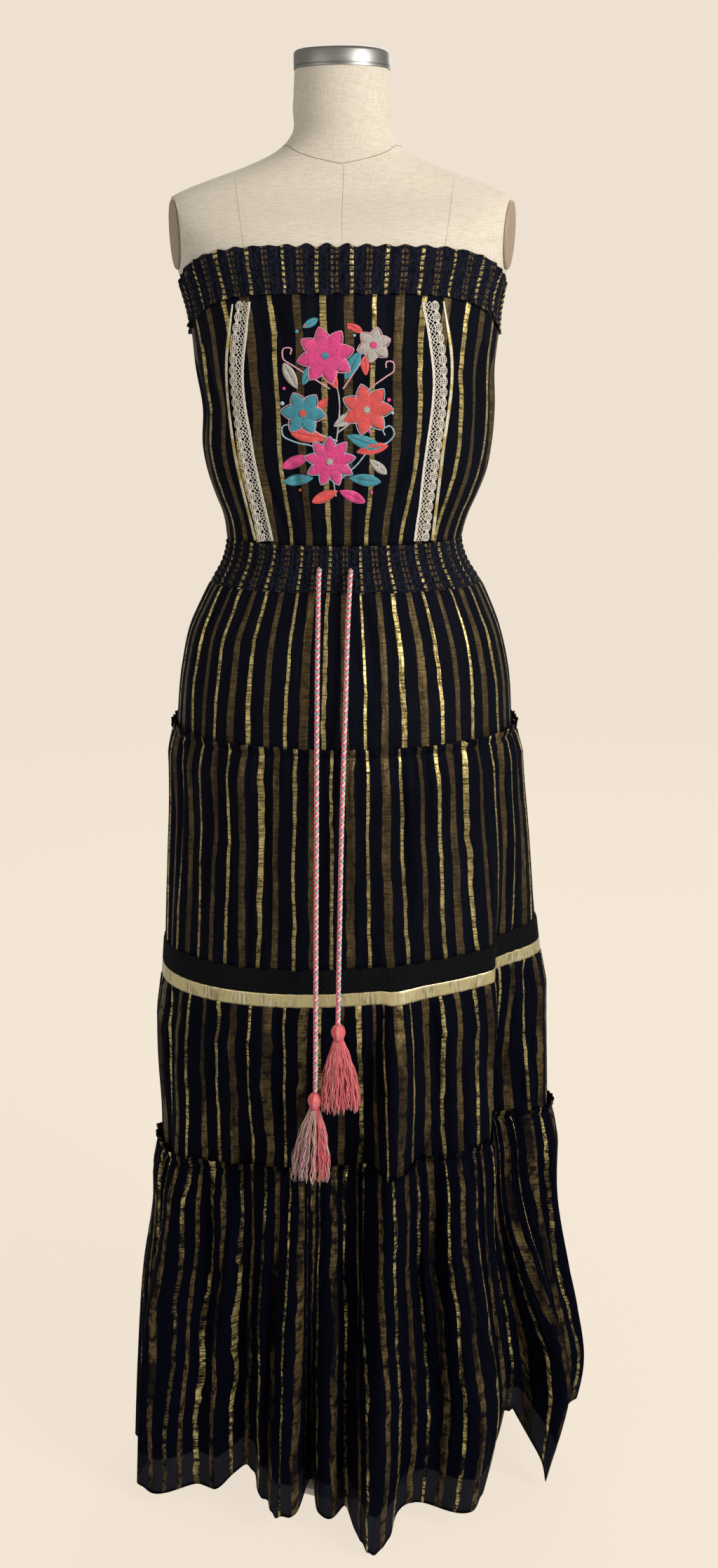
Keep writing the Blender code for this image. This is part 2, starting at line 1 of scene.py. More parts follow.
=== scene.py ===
import math
import bmesh
import bpy
import numpy as np
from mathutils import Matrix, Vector


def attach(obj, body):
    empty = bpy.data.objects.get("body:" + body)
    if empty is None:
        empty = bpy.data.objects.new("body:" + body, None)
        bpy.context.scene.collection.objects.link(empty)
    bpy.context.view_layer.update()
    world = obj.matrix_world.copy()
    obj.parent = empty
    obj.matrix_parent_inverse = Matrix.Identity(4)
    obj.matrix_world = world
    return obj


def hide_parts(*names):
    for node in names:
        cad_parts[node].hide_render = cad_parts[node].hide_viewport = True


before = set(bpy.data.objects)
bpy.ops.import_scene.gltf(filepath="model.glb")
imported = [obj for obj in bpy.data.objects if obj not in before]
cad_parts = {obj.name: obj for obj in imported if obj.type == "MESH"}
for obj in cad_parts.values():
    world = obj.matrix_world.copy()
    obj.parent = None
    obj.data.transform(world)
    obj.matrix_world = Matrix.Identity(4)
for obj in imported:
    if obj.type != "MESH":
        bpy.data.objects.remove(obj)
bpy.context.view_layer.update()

print("frame loaded:", len(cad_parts), "nodes")

# Metres. The front faces -Y, left is -X, and cloth angles run from 0 at the centre front to 90 at the right side.
bodyY = -0.030
wall = 0.0015            # the solids' cloth, whose outer faces the cloth here follows
dress = {
    "hem": 0.029,
    "heading": 0.009,      # a ruffle's free edge over its seam
    "sideDrop": 0.045,     # how much lower the bandeau's edges lie at the sides
    "stripeRepeat": 0.047, # one wide and one narrow stripe, on the flat cloth
    "thickness": 0.0006,
    "tiltHeights": (0.12, 0.41, 0.60, 0.86),
    "tilts": (0.0, 0.018, 0.012, 0.0),
}

# The skirt's and bodice's sections: half widths and depths from the body's axis, the power that squares the
# section, and the ease between the dress form and the cloth.
sectionColumns = ("height", "left", "right", "front", "back", "squareness", "ease")
sectionTable = np.array((
    (0.000, 0.2450, 0.2540, 0.130, 0.166, 2.0, 0.050),
    (0.130, 0.2370, 0.2850, 0.128, 0.166, 2.0, 0.050),
    (0.230, 0.2285, 0.2650, 0.125, 0.163, 2.0, 0.050),
    (0.330, 0.2110, 0.2430, 0.122, 0.160, 2.0, 0.050),
    (0.410, 0.2070, 0.2370, 0.120, 0.156, 2.0, 0.040),
    (0.510, 0.2090, 0.2320, 0.130, 0.152, 2.0, 0.035),
    (0.600, 0.2055, 0.2270, 0.143, 0.149, 2.0, 0.030),
    (0.680, 0.2000, 0.2180, 0.147, 0.147, 2.0, 0.026),
    (0.780, 0.1920, 0.2040, 0.149, 0.145, 2.0, 0.018),
    (0.875, 0.1865, 0.1915, 0.147, 0.142, 2.05, 0.012),
    (0.950, 0.1790, 0.1850, 0.134, 0.130, 2.1, 0.007),
    (0.995, 0.1680, 0.1735, 0.118, 0.110, 2.15, 0.003),
    (1.018, 0.1570, 0.1640, 0.107, 0.0985, 2.15, 0.0016),
    (1.040, 0.1455, 0.1535, 0.098, 0.087, 2.15, 0.0006),
    (1.065, 0.1325, 0.1385, 0.090, 0.077, 2.15, 0.0012),
    (1.090, 0.1275, 0.1320, 0.088, 0.074, 2.15, 0.0006),
    (1.115, 0.1310, 0.1385, 0.0915, 0.0755, 2.15, 0.0020),
    (1.140, 0.1410, 0.1500, 0.096, 0.078, 2.15, 0.004),
    (1.165, 0.1495, 0.1600, 0.1005, 0.0805, 2.15, 0.006),
    (1.190, 0.1545, 0.1650, 0.106, 0.0835, 2.2, 0.007),
    (1.235, 0.1545, 0.1690, 0.115, 0.089, 2.2, 0.007),
    (1.280, 0.1620, 0.1685, 0.124, 0.095, 2.2, 0.005),
    (1.322, 0.1660, 0.1725, 0.127, 0.100, 2.25, 0.0034),
    (1.360, 0.1755, 0.1785, 0.120, 0.103, 2.3, 0.0020),
    (1.386, 0.1840, 0.1860, 0.112, 0.102, 2.35, 0.0014),
    (1.412, 0.1900, 0.1920, 0.103, 0.100, 2.4, 0.0008),
))

# Large folds: hem angle, top angle, distance out, width in degrees before and after, the heights where a fold
# starts and is full, and how far it lifts the hem.
foldTable = (
    (-79.0, -76.0, -0.003, 9.0, 9.0, 0.42, 0.10, -0.002),
    (-56.0, -58.0, 0.030, 18.0, 14.0, 0.56, 0.10, -0.010),
    (-28.0, -28.0, -0.018, 9.0, 8.0, 0.50, 0.15, 0.024),
    (-14.8, -12.0, 0.026, 6.0, 5.5, 0.50, 0.10, -0.004),
    (-9.0, -9.0, -0.030, 2.8, 2.8, 0.30, 0.08, 0.010),
    (-3.0, -4.0, 0.020, 5.0, 4.0, 0.45, 0.15, -0.002),
    (5.4, 15.5, 0.047, 4.8, 11.0, 0.68, 0.42, -0.022),
    (31.0, 36.0, 0.026, 13.0, 7.0, 0.60, 0.15, -0.002),
    (47.0, 60.0, -0.052, 11.0, 34.0, 0.80, 0.42, 0.000),
    (9.6, 9.6, 0.000, 6.0, 5.4, 0.20, 0.10, -0.0095),
    (41.7, 41.7, 0.000, 5.2, 10.8, 0.20, 0.10, 0.050),
    (54.0, 54.0, 0.000, 9.0, 9.0, 0.20, 0.10, 0.050),
    (61.4, 64.5, 0.040, 7.5, 9.0, 0.38, 0.10, -0.019),
    (80.0, 80.0, -0.004, 16.0, 34.0, 0.40, 0.10, 0.055),
    (4.8, 4.8, 0.000, 2.6, 2.6, 0.20, 0.10, 0.009),
    (-15.0, -15.0, 0.000, 2.4, 2.4, 0.20, 0.10, 0.006),
)
backFolds = {"count": 12, "out": 0.017, "start": 0.60}


def smoothCubic(at, places, values):
    # a cubic through (places, values), level outside them
    places, values = np.asarray(places, float), np.asarray(values, float)
    slopes = np.gradient(values, places)
    i = np.clip(np.searchsorted(places, at) - 1, 0, len(places) - 2)
    span = places[i + 1] - places[i]
    t = np.clip((at - places[i]) / span, 0.0, 1.0)
    start = (2 * t**3 - 3 * t**2 + 1) * values[i] + (t**3 - 2 * t**2 + t) * span * slopes[i]
    return start + (3 * t**2 - 2 * t**3) * values[i + 1] + (t**3 - t**2) * span * slopes[i + 1]


def sectionAt(height, column):
    # one column of the table of sections at a height
    return smoothCubic(height, sectionTable[:, 0], sectionTable[:, sectionColumns.index(column)])


def smoothStep(value, low, high):
    # 0 below low, 1 above high, and three times the square less twice the cube of the share between them
    t = np.clip((value - low) / (high - low), 0.0, 1.0)
    return t * t * (3.0 - 2.0 * t)


def bump(angle, centre, before, after):
    # 1 at the centre, falling as half a cosine to 0 over the widths before and after it
    away = (angle - centre + 180.0) % 360.0 - 180.0
    q = np.clip(np.where(away < 0.0, -away / before, away / after), 0.0, 1.0)
    return 0.5 + 0.5 * np.cos(np.pi * q)


def foldOut(angle, height):
    # the sum of the large folds: each a bump about an angle that drifts with height, growing downwards
    out = np.zeros(np.broadcast(angle, height).shape)
    for hemAngle, topAngle, depth, before, after, start, full, lift in foldTable:
        if depth:
            grown = smoothStep(-height, -start, -full)
            upward = np.clip((height - dress["hem"]) / (start - dress["hem"]), 0.0, 1.0)
            shape = bump(angle, hemAngle + (topAngle - hemAngle) * upward, before, after)
            out = out + depth * grown * (shape**0.62 if 0.0 < depth < 0.03 else shape)
    behind = np.clip(-2.2 * np.cos(np.radians(angle)), 0.0, 1.0)
    wave = np.cos(np.radians(angle * backFolds["count"] * 2.0)) * (0.8 + 0.2 * np.cos(np.radians(angle * 5.0)))
    grown = smoothStep(-height, -backFolds["start"], -dress["hem"])
    return out + behind * backFolds["out"] * grown * (wave - 0.15)


def hemLift(angle):
    # the sum of the folds' lifts, each a bump about its angle at the hem, the strong ones with a rounder top
    lift = np.zeros(np.shape(angle))
    for hemAngle, topAngle, depth, before, after, start, full, rise in foldTable:
        shape = bump(angle, hemAngle, before, after)
        lift = lift + rise * (shape**0.6 if rise < 0.0 or rise > 0.04 else shape)
    return lift


def sideDrop(angle):
    # the size of the angle's sine to the fifth power in front, and the whole drop behind
    s = np.abs(np.sin(np.radians(angle)))
    return dress["sideDrop"] * np.where(np.abs(angle) < 90.0, s**5, 1.0)


def planPoint(angle, height, out):
    # a rounded oblong |x/wide|^n + |y/deep|^n = 1, moved out along the oblong's normal
    s, c = np.sin(np.radians(angle)), np.cos(np.radians(angle))
    wide = np.where(s < 0.0, sectionAt(height, "left"), sectionAt(height, "right"))
    deep = np.where(c > 0.0, sectionAt(height, "front"), sectionAt(height, "back"))
    n = sectionAt(height, "squareness")
    k = (np.abs(s)**n + np.abs(c)**n) ** (-1.0 / n)
    nx, ny = s / wide, -c / deep
    size = np.hypot(nx, ny)
    return wide * s * k + out * nx / size, bodyY - deep * c * k + out * ny / size


def clothPoint(angle, height, out, proud):
    # the folded section, then moved along its own normal by proud
    def ring(a):
        return planPoint(a, height, out + foldOut(a, height))

    x, y = ring(angle)
    ahead, behind = ring(angle + 0.3), ring(angle - 0.3)
    tx, ty = ahead[0] - behind[0], ahead[1] - behind[1]
    size = np.hypot(tx, ty)
    return np.stack([x + proud * ty / size, y - proud * tx / size, height + 0.0 * x], axis=-1)


def waves(u, count, seed, spread=0.3, parts=5):
    # a sum of cosines with whole numbers of waves around, near the count, between about -1 and 1
    dice = np.random.default_rng(seed)
    total, weight = 0.0, 0.0
    for _ in range(parts):
        strength = dice.uniform(0.5, 1.0)
        turns = round(count * (1.0 + spread * dice.uniform(-1.0, 1.0)))
        total = total + strength * np.cos(math.tau * (turns * u + dice.uniform()))
        weight += strength
    return total / weight * 1.4


def pleats(u, count, seed, wander=0.5):
    # round crests with sharp valleys between them, 0 to 1: the size of a sine whose phase wanders
    return np.abs(np.sin(math.pi * (count * u + wander * waves(u, max(3, count / 6), seed))))


def unevenness(u, count, seed, low=0.25):
    # a slow variation between low and 1
    return low + (1.0 - low) * (0.5 + 0.5 * np.clip(waves(u, count, seed), -1.0, 1.0))


# Each tier: seam heights, columns and rows of its grid, stripe repeats around, and a table from the top edge down
# of height, out and gather, as the solids have them.
heading = dress["heading"]
lap = wall + 0.0009
tiers = {
    "bandeau": {"top": 1.412, "bottom": 1.3608, "grid": (720, 38), "repeats": 28,
                "rows": ((1.412, 0.0002, 0.0024), (1.386, 0.0, 0.0022), (1.3608, 0.0012, 0.0030))},
    "bodice": {"top": 1.360, "bottom": 1.0908, "grid": (320, 46), "repeats": 18,
               "rows": ((1.360, 0.0, 0.0020), (1.318, 0.0, 0.0010), (1.268, 0.0, 0.0010), (1.205, 0.0, 0.0010),
                        (1.140, 0.0, 0.0016), (1.0908, 0.0, 0.0022))},
    "waist": {"top": 1.090, "bottom": 1.0408, "grid": (640, 34), "repeats": 23,
              "rows": ((1.090, 0.0, 0.0022), (1.066, 0.0, 0.0020), (1.0408, 0.0, 0.0026))},
    "tier_1": {"top": 1.040, "bottom": 0.875, "grid": (380, 34), "repeats": 25,
               "rows": ((1.040, 0.0, 0.0026), (0.995, 0.0, 0.0020), (0.940, 0.0, 0.0010), (0.875, 0.0, 0.0))},
    "tier_2": {"top": 0.875 + heading, "bottom": 0.6428, "grid": (500, 40), "repeats": 29,
               "rows": ((0.875 + heading, 0.0042, 0.0030), (0.875, lap, 0.0008), (0.850, 0.0050, 0.0046),
                        (0.755, 0.0030, 0.0034), (0.6428, 0.0, 0.0))},
    "black_lace": {"top": 0.642, "bottom": 0.6178, "grid": (440, 9), "repeats": 29,
                   "rows": ((0.642, 0.0, 0.0), (0.6178, 0.0, 0.0))},
    "gold_band": {"top": 0.617, "bottom": 0.6028, "grid": (440, 8), "repeats": 29,
                  "rows": ((0.617, 0.0, 0.0), (0.6028, 0.0, 0.0))},
    "tier_3": {"top": 0.602, "bottom": 0.410, "grid": (460, 36), "repeats": 31,
               "rows": ((0.602, 0.0, 0.0), (0.560, 0.0020, 0.0050), (0.490, 0.0010, 0.0036), (0.410, 0.0, 0.0))},
    "tier_4": {"top": 0.410 + heading, "bottom": 0.029, "grid": (620, 54), "repeats": 42,
               "rows": ((0.410 + heading, 0.0044, 0.0036), (0.410, lap, 0.0008), (0.375, 0.0060, 0.0060),
                        (0.215, 0.0020, 0.0040), (0.029, 0.0, 0.0))},
}
ruffled = ("tier_2", "tier_4")     # those with a free edge over their seam
skirtTiers = ("tier_2", "black_lace", "gold_band", "tier_3", "tier_4")
tucked = ("bodice", "waist", "tier_1", "black_lace", "gold_band", "tier_3")
tuck = {"over": 0.0024, "under": -0.0013}    # how far a tucked edge goes under the tier above, and how deep
# Heights where the columns of the long tiers are evenly spaced; the others take the middle of the tier.
evenHeights = {"tier_2": 0.70, "tier_3": 0.48, "tier_4": 0.12, "black_lace": 0.62, "gold_band": 0.61}
# How far the gathers push the stripes sideways at a tier's top and bottom, and how many times around.
wander = {
    "bandeau": (0.0012, 0.0008, 40, 20), "bodice": (0.0012, 0.0016, 22, 12), "waist": (0.0014, 0.0010, 40, 20),
    "tier_1": (0.0022, 0.0030, 34, 14), "tier_2": (0.0036, 0.0040, 38, 16), "black_lace": (0.0, 0.0, 20, 10),
    "gold_band": (0.0, 0.0, 20, 10), "tier_3": (0.0034, 0.0050, 34, 16), "tier_4": (0.0046, 0.0080, 40, 18),
}
# Puffs between stitched rows: pleats around, pitch of the rows, depth, and heights of the first and last row.
smocking = {
    "bandeau": {"pleats": 140, "pitch": 0.0061, "depth": 0.0028, "first": 1.4040, "last": 1.3674},
    "waist": {"pleats": 120, "pitch": 0.0061, "depth": 0.0032, "first": 1.0880, "last": 1.0430},
}
# Gathers at a seam: the seam's height, pleats around, their depth and reach, the depth of the folds that stay,
# how far the cloth between them sinks, and the height over which they grow.
gathers = {
    "bodice": {"seam": 1.0908, "count": 88, "depth": 0.0018, "reach": 0.045,
               "stay": 0.0006, "sink": 0.0, "grow": 0.09},
    "tier_1": {"seam": 1.040, "count": 96, "depth": 0.0020, "reach": 0.055,
               "stay": 0.0008, "sink": 0.0, "grow": 0.09},
    "tier_2": {"seam": 0.875, "count": 108, "depth": 0.0036, "reach": 0.080,
               "stay": 0.0024, "sink": 0.0018, "grow": 0.09},
    "tier_3": {"seam": 0.602, "count": 84, "depth": 0.0020, "reach": 0.060,
               "stay": 0.0026, "sink": 0.0, "grow": 0.09},
    "tier_4": {"seam": 0.410, "count": 116, "depth": 0.0046, "reach": 0.120,
               "stay": 0.0062, "sink": 0.0032, "grow": 0.18},
}
frillDepth = 0.0040


def evenAngles(count, height, evenness):
    # cloth angles all round, about evenly spaced along the folded section at a height
    fine = np.linspace(-180.0, 180.0, 2881)
    ring = clothPoint(fine, height + 0.0 * fine, 0.0, 0.0)
    steps = np.hypot(*np.diff(ring[:, :2], axis=0).T)
    steps = steps + evenness * steps.mean()
    along = np.concatenate([[0.0], np.cumsum(steps)])
    return np.interp(np.linspace(0.0, along[-1], count + 1), along, fine)[:-1]


def smockedRelief(u, height, tier):
    # puffs between stitched rows: pleats around times an arch between rows, plain at the free edges
    table = smocking[tier]
    inside = smoothStep(-height, -table["first"] - 0.001, -table["first"] + 0.001)
    inside = inside * smoothStep(height, table["last"] - 0.001, table["last"] + 0.001)
    arch = np.abs(np.sin(math.pi * (table["first"] - height) / table["pitch"]))
    drift = 0.25 * waves(u, 20, 31)
    fine = np.abs(np.sin(math.pi * (table["pleats"] * u + drift)))
    puff = (0.35 + 0.65 * fine) * np.sqrt(arch)
    frill = 0.5 + 0.6 * waves(u, table["pleats"] * 0.5, 37)
    free = 1.0 + 0.9 * smoothStep(-height, -table["last"], -1.3620) if tier == "bandeau" else 1.0
    return table["depth"] * (inside * puff + (1.0 - inside) * frill * free) - 0.0008


def gatherRelief(tier, u, height, values):
    # fine pleats that fade below the seam, softer folds that stay, and the frill over the seam
    out, gather = values
    soft = gather * (0.5 + 0.5 * waves(u + 0.01 * waves(u, 9, 5), 26, 11)) * 1.05
    if tier in ("bandeau", "waist"):
        return out + smockedRelief(u, height, tier)
    if tier not in gathers:
        return out + 0.0004 * waves(u, 90, 3)
    facts = gathers[tier]
    away = np.abs(height - facts["seam"])
    length = facts["reach"] * unevenness(u, 40, 17, 0.3)
    fade = np.exp(-away / length) * smoothStep(away, -0.001, 0.006)
    fine = facts["depth"] * pleats(u, facts["count"], 7, 0.6) * fade * unevenness(u, 60, 19, 0.3)
    grown = smoothStep(away, 0.01, facts["grow"])
    drift = 0.012 * waves(u, 7, 61) * away / 0.2
    soft = soft + facts["stay"] * grown * (0.65 * waves(u + drift, 27, 63) + 0.45 * waves(u + drift, 58, 67))
    soft = soft - facts["sink"] * grown
    frill = 0.0
    if tier in ruffled:
        over = smoothStep(height, facts["seam"] + 0.0005, facts["seam"] + heading)
        frill = over * frillDepth * (pleats(u, facts["count"] * 0.9, 23, 0.8) - 0.60)
        soft = soft * (1.0 - over)
    return out + soft + fine + frill


# Creases: cloth angle at the top, lean in degrees, top and bottom height, depth, and width in
# degrees. The gain makes the bodice's deeper than the tiers'.
creaseGain = {"bodice": 2.1, "tiers": 1.6}
creases = {
    "bodice": ((-24.0, 3.0, 1.352, 1.290, -0.0018, 2.2), (-8.0, -2.0, 1.356, 1.305, -0.0015, 1.8),
               (14.0, 2.0, 1.356, 1.310, -0.0016, 2.0), (27.0, -2.0, 1.354, 1.285, -0.0019, 2.4),
               (-62.0, 5.0, 1.330, 1.180, -0.0024, 3.2), (61.0, -4.0, 1.330, 1.170, -0.0026, 3.0),
               (76.0, -3.0, 1.320, 1.150, -0.0020, 3.4), (-77.0, 4.0, 1.320, 1.160, -0.0022, 3.2),
               (-20.0, 5.0, 1.185, 1.092, -0.0022, 2.2), (6.0, -3.0, 1.170, 1.092, -0.0020, 2.0),
               (24.0, -5.0, 1.190, 1.092, -0.0024, 2.4), (-33.0, 6.0, 1.175, 1.092, -0.0020, 2.0),
               (130.0, -4.0, 1.300, 1.110, -0.0022, 3.0), (-128.0, 4.0, 1.300, 1.110, -0.0022, 3.0),
               (158.0, -3.0, 1.240, 1.092, -0.0020, 2.6), (-155.0, 3.0, 1.245, 1.092, -0.0020, 2.6)),
    "tier_1": ((-32.0, -4.0, 1.038, 0.930, -0.0022, 1.8), (-12.0, -2.0, 1.038, 0.950, -0.0020, 1.5),
               (9.0, 2.0, 1.038, 0.935, -0.0022, 1.7), (30.0, 4.0, 1.038, 0.925, -0.0024, 2.0),
               (-58.0, -4.0, 1.038, 0.940, -0.0022, 2.2), (57.0, 4.0, 1.038, 0.940, -0.0022, 2.2),
               (140.0, 3.0, 1.038, 0.930, -0.0022, 2.2), (-142.0, -3.0, 1.038, 0.935, -0.0022, 2.2)),
    "tier_2": ((-44.0, -3.0, 0.868, 0.700, -0.0036, 2.2), (-25.0, 2.0, 0.868, 0.660, -0.0030, 1.8),
               (-5.0, -1.5, 0.868, 0.720, -0.0028, 1.8), (18.0, 2.0, 0.868, 0.680, -0.0034, 2.0),
               (39.0, 3.0, 0.868, 0.650, -0.0040, 2.4), (60.0, 2.0, 0.868, 0.660, -0.0036, 2.4),
               (-64.0, -2.0, 0.868, 0.690, -0.0036, 2.4), (150.0, 2.0, 0.868, 0.660, -0.0034, 2.4),
               (-150.0, -2.0, 0.868, 0.670, -0.0034, 2.4), (116.0, 2.0, 0.868, 0.690, -0.0034, 2.4),
               (-118.0, -2.0, 0.868, 0.690, -0.0034, 2.4)),
    "tier_3": ((-40.0, -3.0, 0.598, 0.440, -0.0034, 2.2), (-20.0, 3.0, 0.598, 0.430, -0.0030, 1.8),
               (-1.0, -4.0, 0.598, 0.450, -0.0030, 1.8), (24.0, 5.0, 0.598, 0.430, -0.0034, 2.0),
               (-66.0, 3.0, 0.598, 0.440, -0.0034, 2.4), (74.0, 3.0, 0.598, 0.450, -0.0034, 2.4)),
    "tier_4": ((-70.0, -4.0, 0.400, 0.120, -0.0050, 2.4), (-44.0, 4.0, 0.400, 0.060, -0.0060, 2.2),
               (-36.0, -3.0, 0.400, 0.160, -0.0044, 1.8), (17.0, 5.0, 0.400, 0.040, -0.0056, 2.0),
               (25.0, -3.0, 0.400, 0.130, -0.0048, 1.8), (36.0, 3.0, 0.400, 0.090, -0.0044, 1.8),
               (-21.0, 3.0, 0.400, 0.100, -0.0040, 1.6), (76.0, 3.0, 0.400, 0.120, -0.0044, 2.0)),
}


def creaseRelief(tier, angle, height):
    # soft troughs: a bell across, fading as a sine towards both ends
    total = np.zeros(angle.shape)
    gain = creaseGain.get(tier, creaseGain["tiers"])
    for start, lean, top, bottom, depth, width in creases.get(tier, ()):
        down = np.clip((top - height) / (top - bottom), 0.0, 1.0)
        strength = np.sin(math.pi * down**0.6)**0.7
        strength = np.where((height <= top) & (height >= bottom), strength, 0.0)
        away = (angle - start - lean * down + 180.0) % 360.0 - 180.0
        total = total + gain * depth * strength * np.exp(-(away / width)**2)
    return total


def tierSurface(tier):
    # the tier's outer face: rows from the top edge down, columns once around from the centre back
    facts = tiers[tier]
    columns, rowCount = facts["grid"]
    evenHeight = evenHeights.get(tier, 0.5 * (facts["top"] + facts["bottom"]))
    angle = evenAngles(columns, evenHeight, 0.5)[None, :]
    u = (np.arange(columns) / columns)[None, :]
    if tier in ruffled:    # closer rows over the seam
        below = facts["top"] - 0.014
        flat = np.concatenate([np.linspace(facts["top"], below, 9)[:-1],
                               np.linspace(below, facts["bottom"], rowCount - 8)])
    else:
        flat = np.linspace(facts["top"], facts["bottom"], rowCount)
    if tier in tucked:
        flat = np.concatenate([[facts["top"] + tuck["over"]], flat])
    flat = flat[:, None] + 0.0 * angle
    angle = angle + 0.0 * flat
    height = flat.copy()
    if tier in ("bandeau", "bodice"):
        height = height - np.clip((flat - 1.14) / 0.22, 0.0, 1.0) * sideDrop(angle)
    if tier in skirtTiers:
        height = height + np.interp(flat, dress["tiltHeights"], dress["tilts"]) * np.sin(np.radians(angle))
    if tier == "tier_4":
        height = height + hemLift(angle) * np.clip((0.215 - flat) / (0.215 - dress["hem"]), 0.0, 1.0)
    if tier == "bandeau":
        edge = smoothStep(flat, 1.400, 1.412) - 0.6 * smoothStep(-flat, -1.369, -1.3608)
        height = height + edge * 0.0022 * waves(u, 44, 41)
    if tier in ruffled:
        edge = smoothStep(flat, facts["top"] - heading, facts["top"])
        height = height + edge * 0.0018 * waves(u, 90, 43)
    table = np.array(facts["rows"])[::-1]
    values = [np.interp(flat, table[:, 0], table[:, k]) for k in (1, 2)]
    relief = gatherRelief(tier, u + 0.0 * flat, flat, values) + creaseRelief(tier, angle, flat)
    proud = np.minimum(values[0], lap)
    if tier in tucked:     # its top edge lies under the tier above
        relief[0], proud[0] = tuck["under"], 0.0
    down = (facts["top"] - flat) / (facts["top"] - facts["bottom"])
    near, far, count, turns = wander[tier]
    across = u * facts["repeats"] * dress["stripeRepeat"] + 0.0 * flat
    across = across + near * waves(u, count, 51) * (1.0 - 0.4 * down)
    across = across + far * waves(u + 0.02 * down, turns, 53) * down
    across = across + 0.4 * near * waves(u, 3 * count, 57) * np.exp(-4.0 * down)
    return clothPoint(angle, height, relief - proud, proud), across, flat


def gridQuads(rows, columns, closed):
    # the faces of a grid of points, row by row; closed joins the last column to the first
    i, j = np.meshgrid(np.arange(rows - 1), np.arange(columns if closed else columns - 1), indexing="ij")
    after = (j + 1) % columns
    quads = np.stack([i * columns + j, (i + 1) * columns + j, (i + 1) * columns + after, i * columns + after], -1)
    return quads.reshape(-1, 4)


def gridCorners(u, v, closed, width):
    # one (u, v) for each corner of each quad, from a value for each point; the last column meets the first
    if closed:
        u, v = np.concatenate([u, u[:, :1] + width], axis=1), np.concatenate([v, v[:, :1]], axis=1)
    return np.stack([np.stack([u[:-1, :-1], v[:-1, :-1]], -1), np.stack([u[1:, :-1], v[1:, :-1]], -1),
                     np.stack([u[1:, 1:], v[1:, 1:]], -1), np.stack([u[:-1, 1:], v[:-1, 1:]], -1)], -2).reshape(-1, 2)


def newMesh(name, points, quads, corners=None, tris=None):
    # a smooth mesh of quads and triangles; corners holds the (u, v) of the quads' corners
    mesh = bpy.data.meshes.new(name)
    quads = np.asarray(quads, np.int32)
    order, starts = quads.ravel(), np.arange(len(quads)) * 4
    if tris is not None and len(tris):
        starts = np.concatenate([starts, len(order) + np.arange(len(tris)) * 3])
        order = np.concatenate([order, np.asarray(tris, np.int32).ravel()])
    mesh.vertices.add(len(points))
    mesh.vertices.foreach_set("co", np.asarray(points, np.float32).ravel())
    mesh.loops.add(len(order))
    mesh.loops.foreach_set("vertex_index", order.astype(np.int32))
    mesh.polygons.add(len(starts))
    mesh.polygons.foreach_set("loop_start", starts.astype(np.int32))
    mesh.update(calc_edges=True)
    if corners is not None:
        layer = mesh.uv_layers.new(name="UVMap")
        flat = np.zeros((len(order), 2), np.float32)
        flat[:len(corners)] = corners
        layer.uv.foreach_set("vector", flat.ravel())
    mesh.validate()
    mesh.shade_smooth()
    return mesh


def newPiece(name, mesh, material, thickness=0.0, replaced=()):
    # an object that rides on the root; with a thickness its surface becomes a closed shell, thickened inwards
    piece = bpy.data.objects.new(name, mesh)
    bpy.context.scene.collection.objects.link(piece)
    mesh.materials.append(material)
    if thickness:
        shell = piece.modifiers.new("shell", "SOLIDIFY")
        shell.thickness = thickness
        shell.offset = -1.0
    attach(piece, "root")
    if replaced:
        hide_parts(*replaced)
    return piece


def addNode(tree, kind, inputs=None, **settings):
    # a shader node; each input is linked when it is another node's output, and set when it is a value
    node = tree.nodes.new(kind)
    for key, value in settings.items():
        setattr(node, key, value)
    for key, value in (inputs or {}).items():
        if isinstance(value, bpy.types.NodeSocket):
            tree.links.new(value, node.inputs[key])
        else:
            node.inputs[key].default_value = value
    return node


def mathOf(tree, operation, a, b=0.0, c=0.0):
    return addNode(tree, "ShaderNodeMath", {0: a, 1: b, 2: c}, operation=operation).outputs[0]


def productOf(tree, *factors):
    product = factors[0]
    for factor in factors[1:]:
        product = mathOf(tree, "MULTIPLY", product, factor)
    return product


def swayOf(tree, noise, size):
    # a noise made to swing by half the size to either side of 0
    return mathOf(tree, "MULTIPLY", mathOf(tree, "SUBTRACT", noise, 0.5), size)


def uvOf(tree):
    return addNode(tree, "ShaderNodeUVMap", uv_map="UVMap").outputs[0]


def placeOf(tree):
    return addNode(tree, "ShaderNodeTexCoord").outputs["Object"]


def stretchedOf(tree, vector, scale):
    return addNode(tree, "ShaderNodeMapping", {"Vector": vector, "Scale": scale}).outputs[0]


def noiseOf(tree, vector, scale, detail, roughness=0.5):
    inputs = {"Vector": vector, "Scale": scale, "Detail": detail, "Roughness": roughness}
    return addNode(tree, "ShaderNodeTexNoise", inputs).outputs[0]


def rangeOf(tree, value, low, high, toLow=0.0, toHigh=1.0):
    inputs = {"Value": value, "From Min": low, "From Max": high, "To Min": toLow, "To Max": toHigh}
    return addNode(tree, "ShaderNodeMapRange", inputs, interpolation_type="SMOOTHSTEP").outputs[0]


def mixColours(tree, factor, a, b):
    node = addNode(tree, "ShaderNodeMix", data_type="RGBA")
    for socket, value in ((node.inputs[0], factor), (node.inputs[6], a), (node.inputs[7], b)):
        if isinstance(value, bpy.types.NodeSocket):
            tree.links.new(value, socket)
        else:
            socket.default_value = value
    return node.outputs[2]


def newMaterial(name, **values):
    # a material, its tree and its shader; an underscore in a value's name stands for a space
    material = bpy.data.materials.new(name)
    material.use_nodes = True
    shader = material.node_tree.nodes["Principled BSDF"]
    for key, value in values.items():
        shader.inputs[key.replace("_", " ")].default_value = value
    return material, material.node_tree, shader


